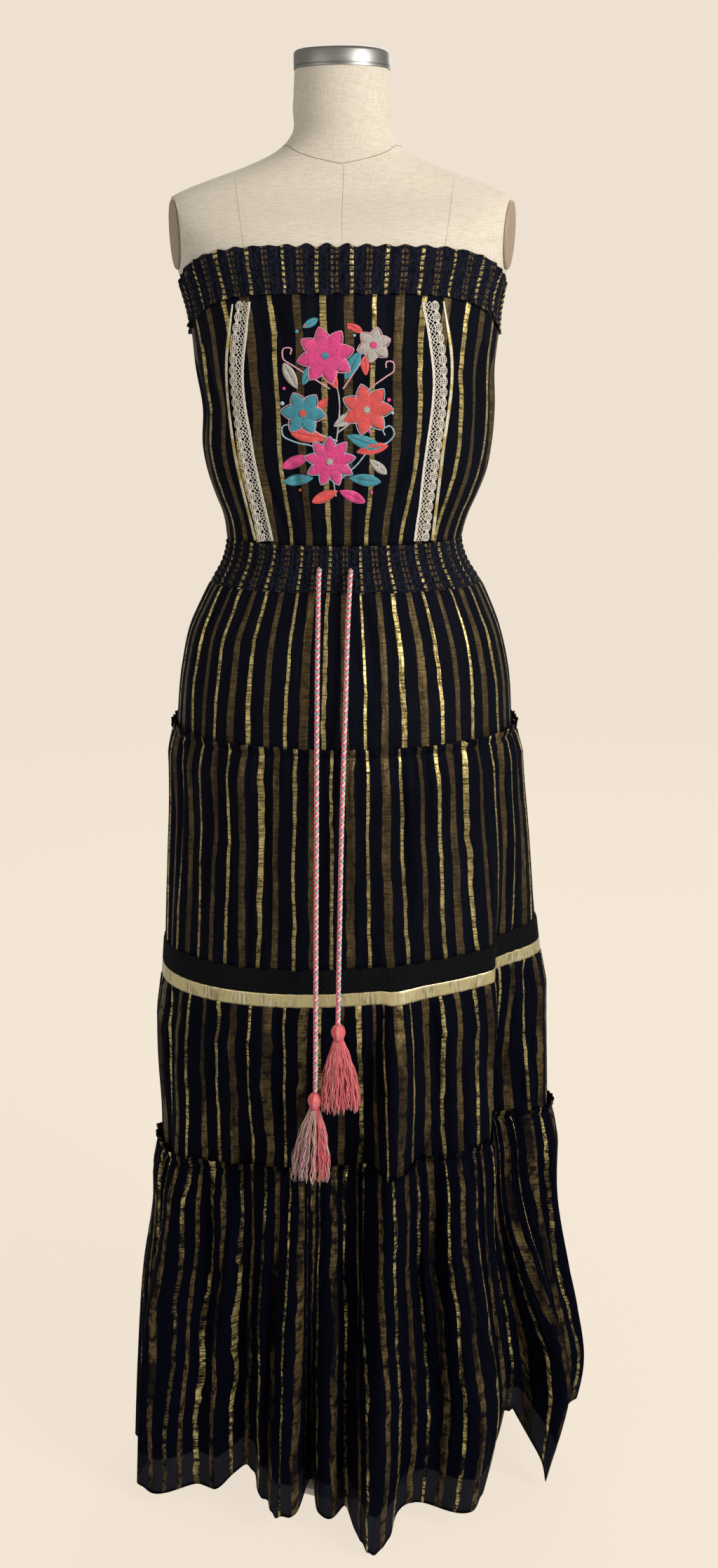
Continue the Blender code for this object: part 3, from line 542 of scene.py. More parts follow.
def addBump(tree, shader, height, strength, distance, before=None):
    # a relief in the shader's normal, on top of the one made before
    inputs = {"Height": height, "Strength": strength, "Distance": distance}
    if before is not None:
        inputs["Normal"] = before
    node = addNode(tree, "ShaderNodeBump", inputs)
    tree.links.new(node.outputs[0], shader.inputs["Normal"])
    return node.outputs[0]


def shade(red, green, blue):
    # a colour as a picture shows it, 0 to 255, made linear
    c = np.array([red, green, blue]) / 255.0
    linear = np.where(c <= 0.04045, c / 12.92, ((c + 0.055) / 1.055) ** 2.4)
    return (*linear.tolist(), 1.0)


# Widths in metres; soft is half the width over which a stripe's edge fades, puckerWander how far the puckers stray.
# The lighter navy among the colours is a painted highlight on the puckers' crests.
stripes = {
    "ground": shade(4, 5, 15), "groundWorn": shade(9, 10, 22), "puckerWithPaintedHighlight": shade(33, 34, 48),
    "wide": 0.0088, "narrow": 0.0046, "soft": 0.0003, "wobble": 0.0022, "puckerWander": 0.0045,
    # the dark and light foil colours stand partly for the foil in painted shade and in a painted glint
    "wideDark": shade(56, 45, 29), "wideLight": shade(116, 98, 63),
    "narrowDark": shade(84, 68, 38), "narrowLight": shade(232, 211, 138),
}


def stripedCloth(name, gain=1.0, wearAndShade=0.0, beads=0.0, phase=0.0, sheer=False):
    # Stripes follow the flat cloth: U runs round it in metres and V is the height. Wear rubs the foil off in tall
    # areas and paints light and shade on it there: stripes brighter as if lit on a crest, and fading into painted
    # shade as if in a fold. Beads is the pitch of rows that pinch it, and sheer thins a band at the hem and paints
    # it lighter, as by light showing through from behind.
    repeat, soft = dress["stripeRepeat"], stripes["soft"]
    material, tree, shader = newMaterial(name, Roughness=0.72, Sheen_Weight=0.0)
    shader.inputs["Specular IOR Level"].default_value = 0.08 - 0.055 * wearAndShade
    uv = uvOf(tree)
    parts = addNode(tree, "ShaderNodeSeparateXYZ", {0: uv})
    across, up = parts.outputs[0], parts.outputs[1]
    # U sways, so that edges wander; turn runs 0 to 1 in a repeat, the wide stripe at 0.25 and the narrow at 0.75
    wobble = noiseOf(tree, uv, 70.0, 2.0)
    wobbled = mathOf(tree, "ADD", across, swayOf(tree, wobble, stripes["wobble"]))
    leaning = noiseOf(tree, uv, 15.0, 3.0)
    wobbled = mathOf(tree, "ADD", wobbled, swayOf(tree, leaning, 0.003 + 0.013 * wearAndShade))
    turn = mathOf(tree, "FRACT", mathOf(tree, "ADD", mathOf(tree, "DIVIDE", wobbled, repeat), phase))
    fromWide, fromNarrow = (
        mathOf(tree, "MULTIPLY", mathOf(tree, "ABSOLUTE", mathOf(tree, "SUBTRACT", turn, middle)), repeat)
        for middle in (0.25, 0.75))
    wide = rangeOf(tree, fromWide, stripes["wide"] / 2 + soft, stripes["wide"] / 2 - soft)
    narrow = rangeOf(tree, fromNarrow, stripes["narrow"] / 2 + soft, stripes["narrow"] / 2 - soft)
    # the foil: cracks across it, worn flecks, and tall areas both worn and painted with light and shade,
    # bright as on a lit crest and fading as into a fold's shadow
    stretched = stretchedOf(tree, uv, (60.0, 520.0, 1.0))
    cracks = noiseOf(tree, stretched, 1.0, 3.0, 0.6)
    flecks = stretchedOf(tree, uv, (90.0, 85.0, 1.0))
    worn = noiseOf(tree, flecks, 1.0, 4.0, 0.7)
    slow = noiseOf(tree, uv, 9.0, 2.0)
    tall = stretchedOf(tree, uv, (34.0, 10.0, 1.0))
    shadeAndWearPatches = noiseOf(tree, tall, 1.0, 3.0, 0.6)
    shine = productOf(tree, rangeOf(tree, cracks, 0.36, 0.56, 0.15, 1.0), rangeOf(tree, worn, 0.30, 0.62, 0.25, 1.0),
                      rangeOf(tree, shadeAndWearPatches, 0.42, 0.60, gain * (1.0 - 0.85 * wearAndShade), gain))
    if beads:    # puckers between the stitched rows, which break the stripes into beads
        puckers = stretchedOf(tree, uv, (620.0, 330.0, 1.0))
        puckerWithPaintedHighlight = addNode(tree, "ShaderNodeTexVoronoi", {"Vector": puckers, "Scale": 1.0}, feature="SMOOTH_F1")
        puckerWithPaintedHighlight = puckerWithPaintedHighlight.outputs["Distance"]
        uneven = noiseOf(tree, uv, 120.0, 2.0)
        shifted = mathOf(tree, "ADD", up, swayOf(tree, uneven, stripes["puckerWander"]))
        row = mathOf(tree, "FRACT", mathOf(tree, "DIVIDE", shifted, beads))
        bead = rangeOf(tree, mathOf(tree, "ABSOLUTE", mathOf(tree, "SUBTRACT", row, 0.5)), 0.42, 0.20)
        split = rangeOf(tree, fromWide, 0.0006, 0.0014)
        wide = productOf(tree, wide, bead, split)
        narrow = productOf(tree, narrow, bead)
    faded = rangeOf(tree, slow, 0.35, 0.75, 0.0, 1.0 - 0.9 * wearAndShade)
    ground = mixColours(tree, faded, stripes["ground"], stripes["groundWorn"])
    # painted highlight: with beads, the ground turns a lighter navy on the puckers' crests
    if beads:
        ground = mixColours(tree, rangeOf(tree, puckerWithPaintedHighlight, 0.65, 0.15, 0.0, 0.75), ground, stripes["puckerWithPaintedHighlight"])
    # painted shade, with wearing: the stripes fade away where the tall areas are low
    rubbedAndShaded = rangeOf(tree, shadeAndWearPatches, 0.43, 0.53, 1.0 - 0.75 * wearAndShade, 1.0)
    # dark to light foil by shine, from cracks, flecks and the tall areas' painted light and shade; the light end a
    # painted glint
    wideColour = mixColours(tree, shine, stripes["wideDark"], stripes["wideLight"])
    narrowColour = mixColours(tree, shine, stripes["narrowDark"], stripes["narrowLight"])
    kept = rangeOf(tree, worn, 0.20 + 0.2 * wearAndShade, 0.34 + 0.2 * wearAndShade, 0.55 - 0.4 * wearAndShade, gain)
    covered = productOf(tree, wide, kept, rubbedAndShaded)
    colour = mixColours(tree, covered, ground, wideColour)
    fineCover = productOf(
        tree, narrow, rangeOf(tree, cracks, 0.26 + 0.1 * wearAndShade, 0.40 + 0.12 * wearAndShade, 0.35 - 0.3 * wearAndShade, 1.0),
        rangeOf(tree, worn, 0.28 + 0.16 * wearAndShade, 0.36 + 0.16 * wearAndShade, 0.5 - 0.4 * wearAndShade, 1.0),
        rangeOf(tree, rubbedAndShaded, 0.0, 1.0, 0.3, 1.0))
    colour = mixColours(tree, fineCover, colour, narrowColour)
    foil = mathOf(tree, "MAXIMUM", productOf(tree, covered, 0.55), productOf(tree, fineCover, 0.75))
    tree.links.new(foil, shader.inputs["Metallic"])
    tree.links.new(rangeOf(tree, foil, 0.0, 0.6, 0.78, 0.40), shader.inputs["Roughness"])
    # relief: a fine crinkle, soft leaning folds, then the puckers or the foil standing a little over the cloth
    crinkle = noiseOf(tree, uv, 260.0, 4.0, 0.6)
    first = addBump(tree, shader, crinkle, 0.35, 0.0009)
    leaningFolds = {"Vector": uv, "Scale": (70.0, 20.0, 1.0), "Rotation": (0.0, 0.0, 0.12)}
    creased = addNode(tree, "ShaderNodeMapping", leaningFolds).outputs[0]
    folds = noiseOf(tree, creased, 1.0, 4.0, 0.55)
    first = addBump(tree, shader, folds, 0.35 + 0.5 * wearAndShade, 0.009, first)
    printed = mathOf(tree, "MAXIMUM", wide, narrow)
    if beads:
        addBump(tree, shader, puckerWithPaintedHighlight, 0.9, -0.0016, first)
    else:
        ridge = productOf(tree, printed, rangeOf(tree, cracks, 0.30, 0.60, 0.4, 1.0))
        addBump(tree, shader, ridge, 0.5, 0.0004, first)
    if sheer:    # between the stripes, above the rolled edge, the cloth is thin and a little see-through, and painted lighter for the light that shows through it from behind
        edge = addNode(tree, "ShaderNodeAttribute", attribute_name="hemDistance").outputs[2]
        band = productOf(tree, rangeOf(tree, edge, 0.040, 0.037), rangeOf(tree, edge, 0.0022, 0.0032),
                         mathOf(tree, "SUBTRACT", 1.0, printed))
        # painted light: the thin band is mixed halfway to a lighter grey-navy
        colour = mixColours(tree, productOf(tree, band, 0.5), colour, shade(30, 32, 42))
        tree.links.new(mathOf(tree, "SUBTRACT", 1.0, productOf(tree, band, 0.08)), shader.inputs["Alpha"])
    tree.links.new(colour, shader.inputs["Base Color"])
    return material


def plainLaceCloth():
    # rosettes as rings about the places of a nearly regular net
    material, tree, shader = newMaterial("blackCrochet", Roughness=0.9)
    shader.inputs["Specular IOR Level"].default_value = 0.12
    uv = uvOf(tree)
    rosettes = addNode(tree, "ShaderNodeTexVoronoi", {"Vector": uv, "Scale": 125.0, "Randomness": 0.2})
    cells = mathOf(tree, "SINE", productOf(tree, rosettes.outputs["Distance"], 24.0))
    colour = mixColours(tree, rangeOf(tree, cells, 0.8, -0.6), shade(24, 23, 28), shade(5, 5, 8))
    tree.links.new(colour, shader.inputs["Base Color"])
    addBump(tree, shader, cells, 0.9, 0.0012)
    return material


def ribbonMaterial():
    # crushed foil: narrow puckers across the ribbon and broader dents
    material, tree, shader = newMaterial("goldRibbon", Roughness=0.38, Metallic=0.75)
    uv = uvOf(tree)
    stretched = stretchedOf(tree, uv, (420.0, 60.0, 1.0))
    creasesOf = noiseOf(tree, stretched, 1.0, 4.0)
    broad = noiseOf(tree, uv, 45.0, 3.0)
    colour = mixColours(tree, rangeOf(tree, creasesOf, 0.35, 0.65), shade(168, 147, 98), shade(240, 230, 186))
    colour = mixColours(tree, rangeOf(tree, broad, 0.62, 0.38), colour, shade(222, 206, 150))
    tree.links.new(colour, shader.inputs["Base Color"])
    first = addBump(tree, shader, creasesOf, 0.6, 0.0006)
    addBump(tree, shader, broad, 0.5, 0.0015, first)
    return material


print("cloth materials")
tierMaterials = {
    "bandeau": stripedCloth("bandeauCloth", 0.85, 0.15, beads=0.0061, phase=0.473),
    "waist": stripedCloth("waistCloth", 0.82, 0.15, beads=0.0061, phase=0.75),
    "bodice": stripedCloth("bodiceCloth", 0.82, 0.15, phase=0.27),
    "tier_1": stripedCloth("tier1Cloth", 0.80, 0.25, phase=0.75),
    "tier_2": stripedCloth("tier2Cloth", 0.84, 0.45, phase=0.75),
    "tier_3": stripedCloth("tier3Cloth", 1.05, 0.75, phase=0.75),
    "tier_4": stripedCloth("tier4Cloth", 1.05, 1.0, phase=0.25, sheer=True),
    "black_lace": plainLaceCloth(),
    "gold_band": ribbonMaterial(),
}
for tier, facts in tiers.items():
    points, across, flat = tierSurface(tier)
    rowCount, columns = points.shape[:2]
    width = facts["repeats"] * dress["stripeRepeat"]
    mesh = newMesh(tier, points.reshape(-1, 3), gridQuads(rowCount, columns, True),
                   gridCorners(across, flat, True, width))
    if tier == "tier_4":
        layer = mesh.attributes.new("hemDistance", "FLOAT", "POINT")
        layer.data.foreach_set("value", (flat - facts["bottom"]).ravel().astype(np.float32))
    piece = newPiece(tier + "_cloth", mesh, tierMaterials[tier],
                     dress["thickness"], (tier + "_front", tier + "_back"))
    length = float(np.linalg.norm(np.diff(points, axis=0), axis=2).sum(axis=0).mean())
    around = float(np.linalg.norm(points - np.roll(points, 1, axis=1), axis=2).sum(axis=1).mean())
    print("tier", tier, "cut", round(width, 3), "by", round(length, 3), "around", round(around, 3))


def closedMesh(mesh, sharpAngle):
    # points at one place joined, faces turned outwards, and edges sharper than the angle in degrees kept sharp
    bm = bmesh.new()
    bm.from_mesh(mesh)
    bmesh.ops.remove_doubles(bm, verts=bm.verts[:], dist=0.000001)
    bmesh.ops.recalc_face_normals(bm, faces=bm.faces[:])
    bm.to_mesh(mesh)
    bm.free()
    mesh.set_sharp_from_angle(angle=math.radians(sharpAngle))
    return mesh


def tubeParts(paths, radius, sides=5, facing=(0.0, -1.0, 0.0), flat=1.0):
    # threads swept along paths (thread, sample, xyz), their ends closed; facing is what the ring leans to
    paths = np.asarray(paths, float)
    count, samples = paths.shape[:2]
    along = np.gradient(paths, axis=1)
    along /= np.linalg.norm(along, axis=2, keepdims=True) + 1e-12
    side = np.cross(along, np.broadcast_to(facing, paths.shape))
    side /= np.linalg.norm(side, axis=2, keepdims=True) + 1e-12
    up = np.cross(side, along)
    turn = (math.tau * np.arange(sides) / sides)[None, None, :, None]
    size = np.broadcast_to(radius, (count, samples))[:, :, None, None]
    points = paths[:, :, None] + size * (np.cos(turn) * side[:, :, None] + flat * np.sin(turn) * up[:, :, None])
    t, m, k = np.meshgrid(np.arange(count), np.arange(samples - 1), np.arange(sides), indexing="ij")
    base, after = t * samples * sides, (k + 1) % sides
    quads = np.stack([base + m * sides + k, base + (m + 1) * sides + k,
                      base + (m + 1) * sides + after, base + m * sides + after], -1).reshape(-1, 4)
    first = np.arange(count)[:, None] * samples * sides
    fan = np.array([(0, j, j + 1) for j in range(1, sides - 1)])
    starts = (first[:, :, None] + fan[None]).reshape(-1, 3)
    ends = (first[:, :, None] + (samples - 1) * sides + fan[None, :, ::-1]).reshape(-1, 3)
    return points.reshape(-1, 3), quads, np.concatenate([starts, ends])


def joinParts(name, parts):
    # parts of (points, quads, tris, colours) as one mesh; colours are kept in its attribute tint
    points, quads, tris, colours, start = [], [], [], [], 0
    for somePoints, someQuads, someTris, someColours in parts:
        points.append(somePoints)
        quads.append(someQuads + start)
        tris.append(someTris + start)
        colours.append(np.broadcast_to(someColours, (len(somePoints), 4)))
        start += len(somePoints)
    mesh = newMesh(name, np.concatenate(points), np.concatenate(quads), tris=np.concatenate(tris))
    layer = mesh.attributes.new("tint", "FLOAT_COLOR", "POINT")
    layer.data.foreach_set("color", np.concatenate(colours).astype(np.float32).ravel())
    return mesh


def tintFor(colours, samples, sides):
    # a colour a thread, repeated for each of its points
    return np.repeat(np.asarray(colours, float), samples * sides, axis=0)


def turnedMesh(name, profile, centre, segments):
    # a profile of (radius, height), run down its outer side, turned about the vertical through the centre
    profile = np.array(profile)
    turn = (math.tau * np.arange(segments) / segments)[None, :]
    radius, height = profile[:, :1], profile[:, 1:] + 0.0 * turn
    points = np.stack([centre[0] + radius * np.cos(turn), centre[1] + radius * np.sin(turn), height], -1)
    return closedMesh(newMesh(name, points.reshape(-1, 3), gridQuads(len(profile), segments, True)), 35.0)


net = {"half": 0.20, "columns": 401, "rows": 301}    # half its width in metres, and its points


def depthTable(points, front=True):
    # for a regular net of (x, z): y and the slopes of the face there, from the piece's own rows
    x = np.linspace(-net["half"], net["half"], net["columns"])
    middle = points[len(points) // 2]
    chosen = np.flatnonzero(middle[:, 1] < bodyY + 0.004 if front else middle[:, 1] > bodyY - 0.004)
    chosen = chosen[np.argsort(middle[chosen, 0])]
    rows = points[:, chosen]
    y = np.stack([np.interp(x, row[:, 0], row[:, 1]) for row in rows])
    heights = np.stack([np.interp(x, row[:, 0], row[:, 2]) for row in rows])
    if heights[0, net["columns"] // 2] > heights[-1, net["columns"] // 2]:
        y, heights = y[::-1], heights[::-1]
    z = np.linspace(heights.min(), heights.max(), net["rows"])
    table = np.stack([np.interp(z, heights[:, i], y[:, i]) for i in range(len(x))])
    return {"x": x, "z": z, "y": table, "slopes": np.gradient(table, x, z), "sign": -1.0 if front else 1.0}


def onFace(table, x, z, proud):
    # the place on the face at (x, z), moved outwards by proud
    x, z, proud = np.broadcast_arrays(x, z, proud)
    i = np.clip((x - table["x"][0]) / (table["x"][1] - table["x"][0]), 0.0, len(table["x"]) - 1.001)
    j = np.clip((z - table["z"][0]) / (table["z"][1] - table["z"][0]), 0.0, len(table["z"]) - 1.001)
    i0, j0 = i.astype(int), j.astype(int)
    a, b = i - i0, j - j0

    def between(values):
        return ((1 - a) * (1 - b) * values[i0, j0] + a * (1 - b) * values[i0 + 1, j0]
                + (1 - a) * b * values[i0, j0 + 1] + a * b * values[i0 + 1, j0 + 1])

    slopeX, slopeZ = (between(slopes) for slopes in table["slopes"])
    sign = table["sign"]
    facing = np.stack([-sign * slopeX, sign + 0.0 * slopeX, -sign * slopeZ], -1)
    facing /= np.linalg.norm(facing, axis=-1, keepdims=True)
    return np.stack([x, between(table["y"]), z], -1) + proud[..., None] * facing


def tintMaterial(name, roughness, sheen, bumpScale, bumpDepth):
    # threads in the colours of the mesh's attribute tint, with fine fibres in their relief
    material, tree, shader = newMaterial(name, Roughness=roughness, Sheen_Weight=sheen)
    shader.inputs["Specular IOR Level"].default_value = 0.25
    tint = addNode(tree, "ShaderNodeAttribute", attribute_name="tint").outputs[0]
    place = placeOf(tree)
    fibre = noiseOf(tree, place, bumpScale, 3.0)
    dark = addNode(tree, "ShaderNodeMix", {0: 0.35, 6: tint, 7: (0.0, 0.0, 0.0, 1.0)}, data_type="RGBA").outputs[2]
    colour = mixColours(tree, rangeOf(tree, fibre, 0.30, 0.62), dark, tint)
    tree.links.new(colour, shader.inputs["Base Color"])
    addBump(tree, shader, fibre, 0.6, bumpDepth)
    return material


# The dress form, from its underside to the neck. Shoulder rows: height, half width, front, back and squareness.
form = {
    "bottom": 0.800, "top": 1.6047, "columns": 150, "rows": 110,
    "shoulders": ((1.435, .1960, .088, .092, 2.5), (1.455, .1960, .070, .080, 2.4), (1.466, .1890, .060, .070, 2.3),
                  (1.474, .1740, .056, .065, 2.2), (1.486, .1430, .053, .061, 2.1), (1.500, .1050, .051, .057, 2.0),
                  (1.515, .0740, .050, .053, 2.0), (1.532, .0570, .050, .051, 2.0), (1.565, .0540, .0515, .0515, 2.0),
                  (1.6047, .0520, .0520, .0520, 2.0)),
    "armhole": {"x": 0.1852, "turn": 13.0, "lean": 4.0, "z": 1.4250, "ahead": 0.012,
                "height": 0.038, "depth": 0.034, "plate": 0.003, "gap": 0.0003},
    "linen": shade(219, 210, 195), "linenDark": shade(201, 189, 170), "seam": shade(190, 176, 152),
    # the plates' linen-brown is the linen darkened as it looks in shade: painted shade
    "plate": shade(168, 148, 124),
}


def formTable():
    # rows of height, left, right, front, back and squareness: the dress's sections less the cloth and its ease up
    # to the bandeau, and the shoulders' own rows above
    heights = np.concatenate([[form["bottom"]], sectionTable[sectionTable[:, 0] > form["bottom"], 0]])
    less = wall + sectionAt(heights, "ease")
    rows = np.stack([heights] + [sectionAt(heights, name) - less for name in ("left", "right", "front", "back")]
                    + [sectionAt(heights, "squareness")], 1)
    upper = np.array([(h, half, half, front, back, n) for h, half, front, back, n in form["shoulders"]])
    return np.concatenate([rows, upper])


formRows = formTable()


def formPoint(angle, height):
    # a point of the rounded oblong |x/wide|^n + |y/deep|^n = 1 that the form's rows give at a height
    left, right, front, back, n = (smoothCubic(height, formRows[:, 0], formRows[:, k]) for k in range(1, 6))
    s, c = np.sin(np.radians(angle)), np.cos(np.radians(angle))
    k = (np.abs(s)**n + np.abs(c)**n) ** (-1.0 / n)
    x = np.where(s < 0.0, left, right) * s * k
    y = bodyY - np.where(c > 0.0, front, back) * c * k
    return np.stack([x, y, height + 0.0 * x], -1)


def armholePlane(sign):
    # a point and the outward normal of the plane that cuts the shoulder off
    facts = form["armhole"]
    turn, lean = math.radians(facts["turn"]), math.radians(facts["lean"])
    facing = Vector((sign * math.cos(turn) * math.cos(lean), -math.sin(turn) * math.cos(lean), -math.sin(lean)))
    return Vector((sign * facts["x"], bodyY, facts["z"])), facing


def linenMaterial():
    # warp and weft are one noise stretched either way, with faint stains
    material, tree, shader = newMaterial("linen", Roughness=0.92, Sheen_Weight=0.15)
    shader.inputs["Specular IOR Level"].default_value = 0.15
    place = placeOf(tree)
    threads = []
    for stretch in ((1500.0, 1500.0, 90.0), (90.0, 90.0, 1500.0)):
        moved = stretchedOf(tree, place, stretch)
        threads.append(noiseOf(tree, moved, 1.0, 2.0))
    weave = productOf(tree, mathOf(tree, "ADD", threads[0], threads[1]), 0.5)
    broad = noiseOf(tree, place, 14.0, 4.0)
    colour = mixColours(tree, rangeOf(tree, weave, 0.40, 0.60), form["linenDark"], form["linen"])
    colour = mixColours(tree, rangeOf(tree, broad, 0.30, 0.75, 0.0, 0.25), colour, shade(205, 193, 172))
    tree.links.new(colour, shader.inputs["Base Color"])
    addBump(tree, shader, weave, 0.25, 0.0004)
    return material


def makeForm():
    # rings of form points, cut by the two armhole planes and closed; then sewn seams and the armhole plates
    columns, rowCount = form["columns"], form["rows"]
    angle = (360.0 * np.arange(columns) / columns - 180.0)[None, :]
    height = np.concatenate([np.linspace(form["bottom"], 1.30, 26)[:-1],
                             np.linspace(1.30, form["top"], rowCount - 25)])[::-1, None] + 0.0 * angle
    points = formPoint(angle + 0.0 * height, height)
    mesh = newMesh("torso", points.reshape(-1, 3), gridQuads(rowCount, columns, True))
    bm = bmesh.new()
    bm.from_mesh(mesh)
    for sign in (-1.0, 1.0):
        place, facing = armholePlane(sign)
        bmesh.ops.bisect_plane(bm, geom=bm.verts[:] + bm.edges[:] + bm.faces[:], dist=0.00001,
                               plane_co=place, plane_no=facing, clear_outer=True)
    bmesh.ops.holes_fill(bm, edges=[edge for edge in bm.edges if edge.is_boundary], sides=0)
    bmesh.ops.recalc_face_normals(bm, faces=bm.faces[:])
    bm.to_mesh(mesh)
    bm.free()
    mesh.shade_smooth()
    mesh.set_sharp_from_angle(angle=math.radians(50.0))
    newPiece("form_torso", mesh, linenMaterial(), 0.0, ("torso",))
    front, back = depthTable(points, True), depthTable(points, False)

    def seam(table, places):
        places = np.array(places)
        t = np.linspace(0.0, len(places) - 1.0, 60)
        x, z = (np.interp(t, np.arange(len(places)), places[:, k]) for k in (0, 1))
        return onFace(table, x, z, -0.00015)

    ringAngle = np.linspace(-180.0, 180.0, 61)[:-1]    # the neck's seam dips at the front
    ring = formPoint(ringAngle, 1.5215 - 0.0215 * np.clip(1.0 - np.abs(ringAngle) / 62.0, 0.0, 1.0))
    ring = np.concatenate([ring, ring[:1]])
    shoulder = np.linspace(1.4765, 1.5205, 60)
    paths = np.stack([
        ring[:60], np.roll(ring[:60], 2, axis=0),
        seam(front, ((0.0024, 1.4990), (0.0008, 1.450), (0.0008, 1.390))),
        seam(front, ((-0.1164, 1.4870), (-0.108, 1.440), (-0.1000, 1.390))),
        seam(front, ((0.1219, 1.4855), (0.1145, 1.440), (0.1060, 1.390))),
        seam(back, ((0.0, 1.5180), (0.0, 1.450), (0.0, 1.380))),
        seam(back, ((-0.1164, 1.4860), (-0.106, 1.440), (-0.0980, 1.380))),
        seam(back, ((0.1164, 1.4860), (0.106, 1.440), (0.0980, 1.380))),
        formPoint(np.full(60, -90.0), shoulder), formPoint(np.full(60, 90.0), shoulder)])
    seams = joinParts("form_seams", [(*tubeParts(paths, 0.00038, 5, (0.3, 0.4, 0.87)), form["seam"])])
    newPiece("form_seams", seams, tintMaterial("seamThread", 0.9, 0.1, 900.0, 0.0003))
    # the plates' material: painted shade, the darker linen-brown with a grain
    shadedPlateLooks, tree, shader = newMaterial("plate", Roughness=0.55, Metallic=0.0)
    place = placeOf(tree)
    grain = noiseOf(tree, place, 90.0, 3.0)
    tree.links.new(mixColours(tree, grain, shade(150, 130, 106), form["plate"]), shader.inputs["Base Color"])
    for side, sign in (("left", -1.0), ("right", 1.0)):
        facts = form["armhole"]
        centre, facing = armholePlane(sign)
        up = (Vector((0.0, 0.0, 1.0)) - facing * facing.z).normalized()
        ahead = facing.cross(Vector((0.0, 0.0, 1.0))).normalized() * (facts["ahead"] * sign)
        centre, across = np.array(centre + ahead + facing * facts["gap"]), np.array(facing.cross(up))
        # a disc with rounded edges: rings of (share of the radius, share of the thickness)
        rings = np.array(((0.0, 1.0), (0.90, 1.0), (0.975, 0.92), (1.0, 0.62), (1.0, 0.12), (0.99, 0.0), (0.0, 0.0)))
        turn = (math.tau * np.arange(64) / 64)[None, :, None]
        disc = centre + (rings[:, :1, None] * (np.cos(turn) * facts["height"] * np.array(up)
                         + np.sin(turn) * facts["depth"] * across)
                         + rings[:, 1:, None] * facts["plate"] * np.array(facing))
        plateMesh = closedMesh(newMesh("plate", disc.reshape(-1, 3), gridQuads(len(rings), 64, True)), 50.0)
        newPiece("form_plate_" + side, plateMesh, shadedPlateLooks, 0.0, ("armhole_plate_" + side,))


print("dress form")
makeForm()

stand = {
    "capRadius": 0.0530, "capBottom": 1.605, "capTop": 1.6265, "poleRadius": 0.0125, "baseRadius": 0.105,
    "baseHeight": 0.014, "steel": shade(158, 156, 152), "pale": shade(238, 226, 210),
}


def steelMaterial():
    # brushed round the cap: a noise pressed flat
    material, tree, shader = newMaterial("brushedSteel", Metallic=1.0, Roughness=0.32, Anisotropic=0.5)
    place = placeOf(tree)
    moved = stretchedOf(tree, place, (30.0, 30.0, 3000.0))
    brushed = noiseOf(tree, moved, 1.0, 2.0)
    tree.links.new(mixColours(tree, brushed, shade(120, 118, 114), stand["steel"]), shader.inputs["Base Color"])
    tree.links.new(rangeOf(tree, brushed, 0.3, 0.7, 0.32, 0.46), shader.inputs["Roughness"])
    addBump(tree, shader, brushed, 0.08, 0.0002)
    return material


def paleMaterial():
    material, tree, shader = newMaterial("paleEnamel", Roughness=0.5)
    place = placeOf(tree)
    grain = noiseOf(tree, place, 300.0, 3.0)
    tree.links.new(mixColours(tree, grain, shade(226, 213, 196), stand["pale"]), shader.inputs["Base Color"])
    addBump(tree, shader, grain, 0.15, 0.0003)
    return material


def makeStand():
    # each part a profile of (radius, height) turned about its own axis: the cap, the base and the pole
    r, low, top = stand["capRadius"], stand["capBottom"], stand["capTop"]
    cap = ((0.0, top), (r - 0.013, top - 0.0002), (r - 0.005, top - 0.0006), (r - 0.0022, top - 0.0014),
           (r - 0.0007, top - 0.0027), (r, top - 0.0046), (r, low + 0.0036), (r - 0.0007, low + 0.0032),
           (r - 0.0007, low + 0.0024), (r, low + 0.0020), (r, low), (0.0, low))
    capMesh = turnedMesh("cap", cap, (0.0, bodyY), 96)
    newPiece("cap_turned", capMesh, steelMaterial(), 0.0, ("neck_cap",))
    pale, br, bh = paleMaterial(), stand["baseRadius"], stand["baseHeight"]
    base = ((0.0, bh), (0.018, bh), (0.030, bh - 0.0004), (0.060, bh - 0.0026), (br - 0.006, 0.0086),
            (br - 0.0015, 0.0066), (br, 0.0040), (br, 0.0), (0.0, 0.0))
    newPiece("base_turned", turnedMesh("base", base, (0.0, 0.0), 96), pale, 0.0, ("base",))
    pr, pt, pb = stand["poleRadius"], form["bottom"] - 0.0003, bh + 0.0003
    pole = ((0.0, pt), (pr, pt), (pr, pb + 0.020), (pr + 0.0035, pb + 0.016), (pr + 0.0035, pb), (0.0, pb))
    newPiece("pole_turned", turnedMesh("pole", pole, (0.0, 0.0), 48), pale, 0.0, ("pole",))


print("stand")
makeStand()

# Cords: places of (x, height, distance before the side seams' line) from the waist's casing to the tassel.
cords = {
    "diameter": 0.0054, "strand": 0.00138, "turn": 0.0110, "weave": 0.00036,
    "colours": (shade(240, 74, 110), shade(238, 96, 102), shade(236, 230, 220), shade(140, 206, 200)),
    "left": ((-.0236, 1.0664, .0931), (-.0236, 1.0660, .0961), (-.0238, 1.0640, .0996), (-.0241, 1.0590, .1035),
             (-.0243, 1.048, .1075), (-.0246, 1.020, .1190), (-.0250, .980, .1350), (-.0252, .930, .1500),
             (-.0254, .884, .1595), (-.0256, .840, .1640), (-.0258, .780, .1648), (-.0264, .700, .1648),
             (-.0268, .620, .1650), (-.0272, .560, .1650), (-.0274, .5180, .1650)),
    "right": ((.0100, 1.0654, .0935), (.0100, 1.0650, .0965), (.0098, 1.0630, .1000), (.0094, 1.0580, .1040),
              (.0088, 1.047, .1082), (.0072, 1.018, .1200), (.0058, .978, .1356), (.0046, .930, .1503),
              (.0030, .884, .1597), (.0016, .840, .1642), (.0000, .780, .1652), (-.0014, .710, .1656),
              (-.0026, .650, .1660), (-.0034, .5930, .1662)),
}
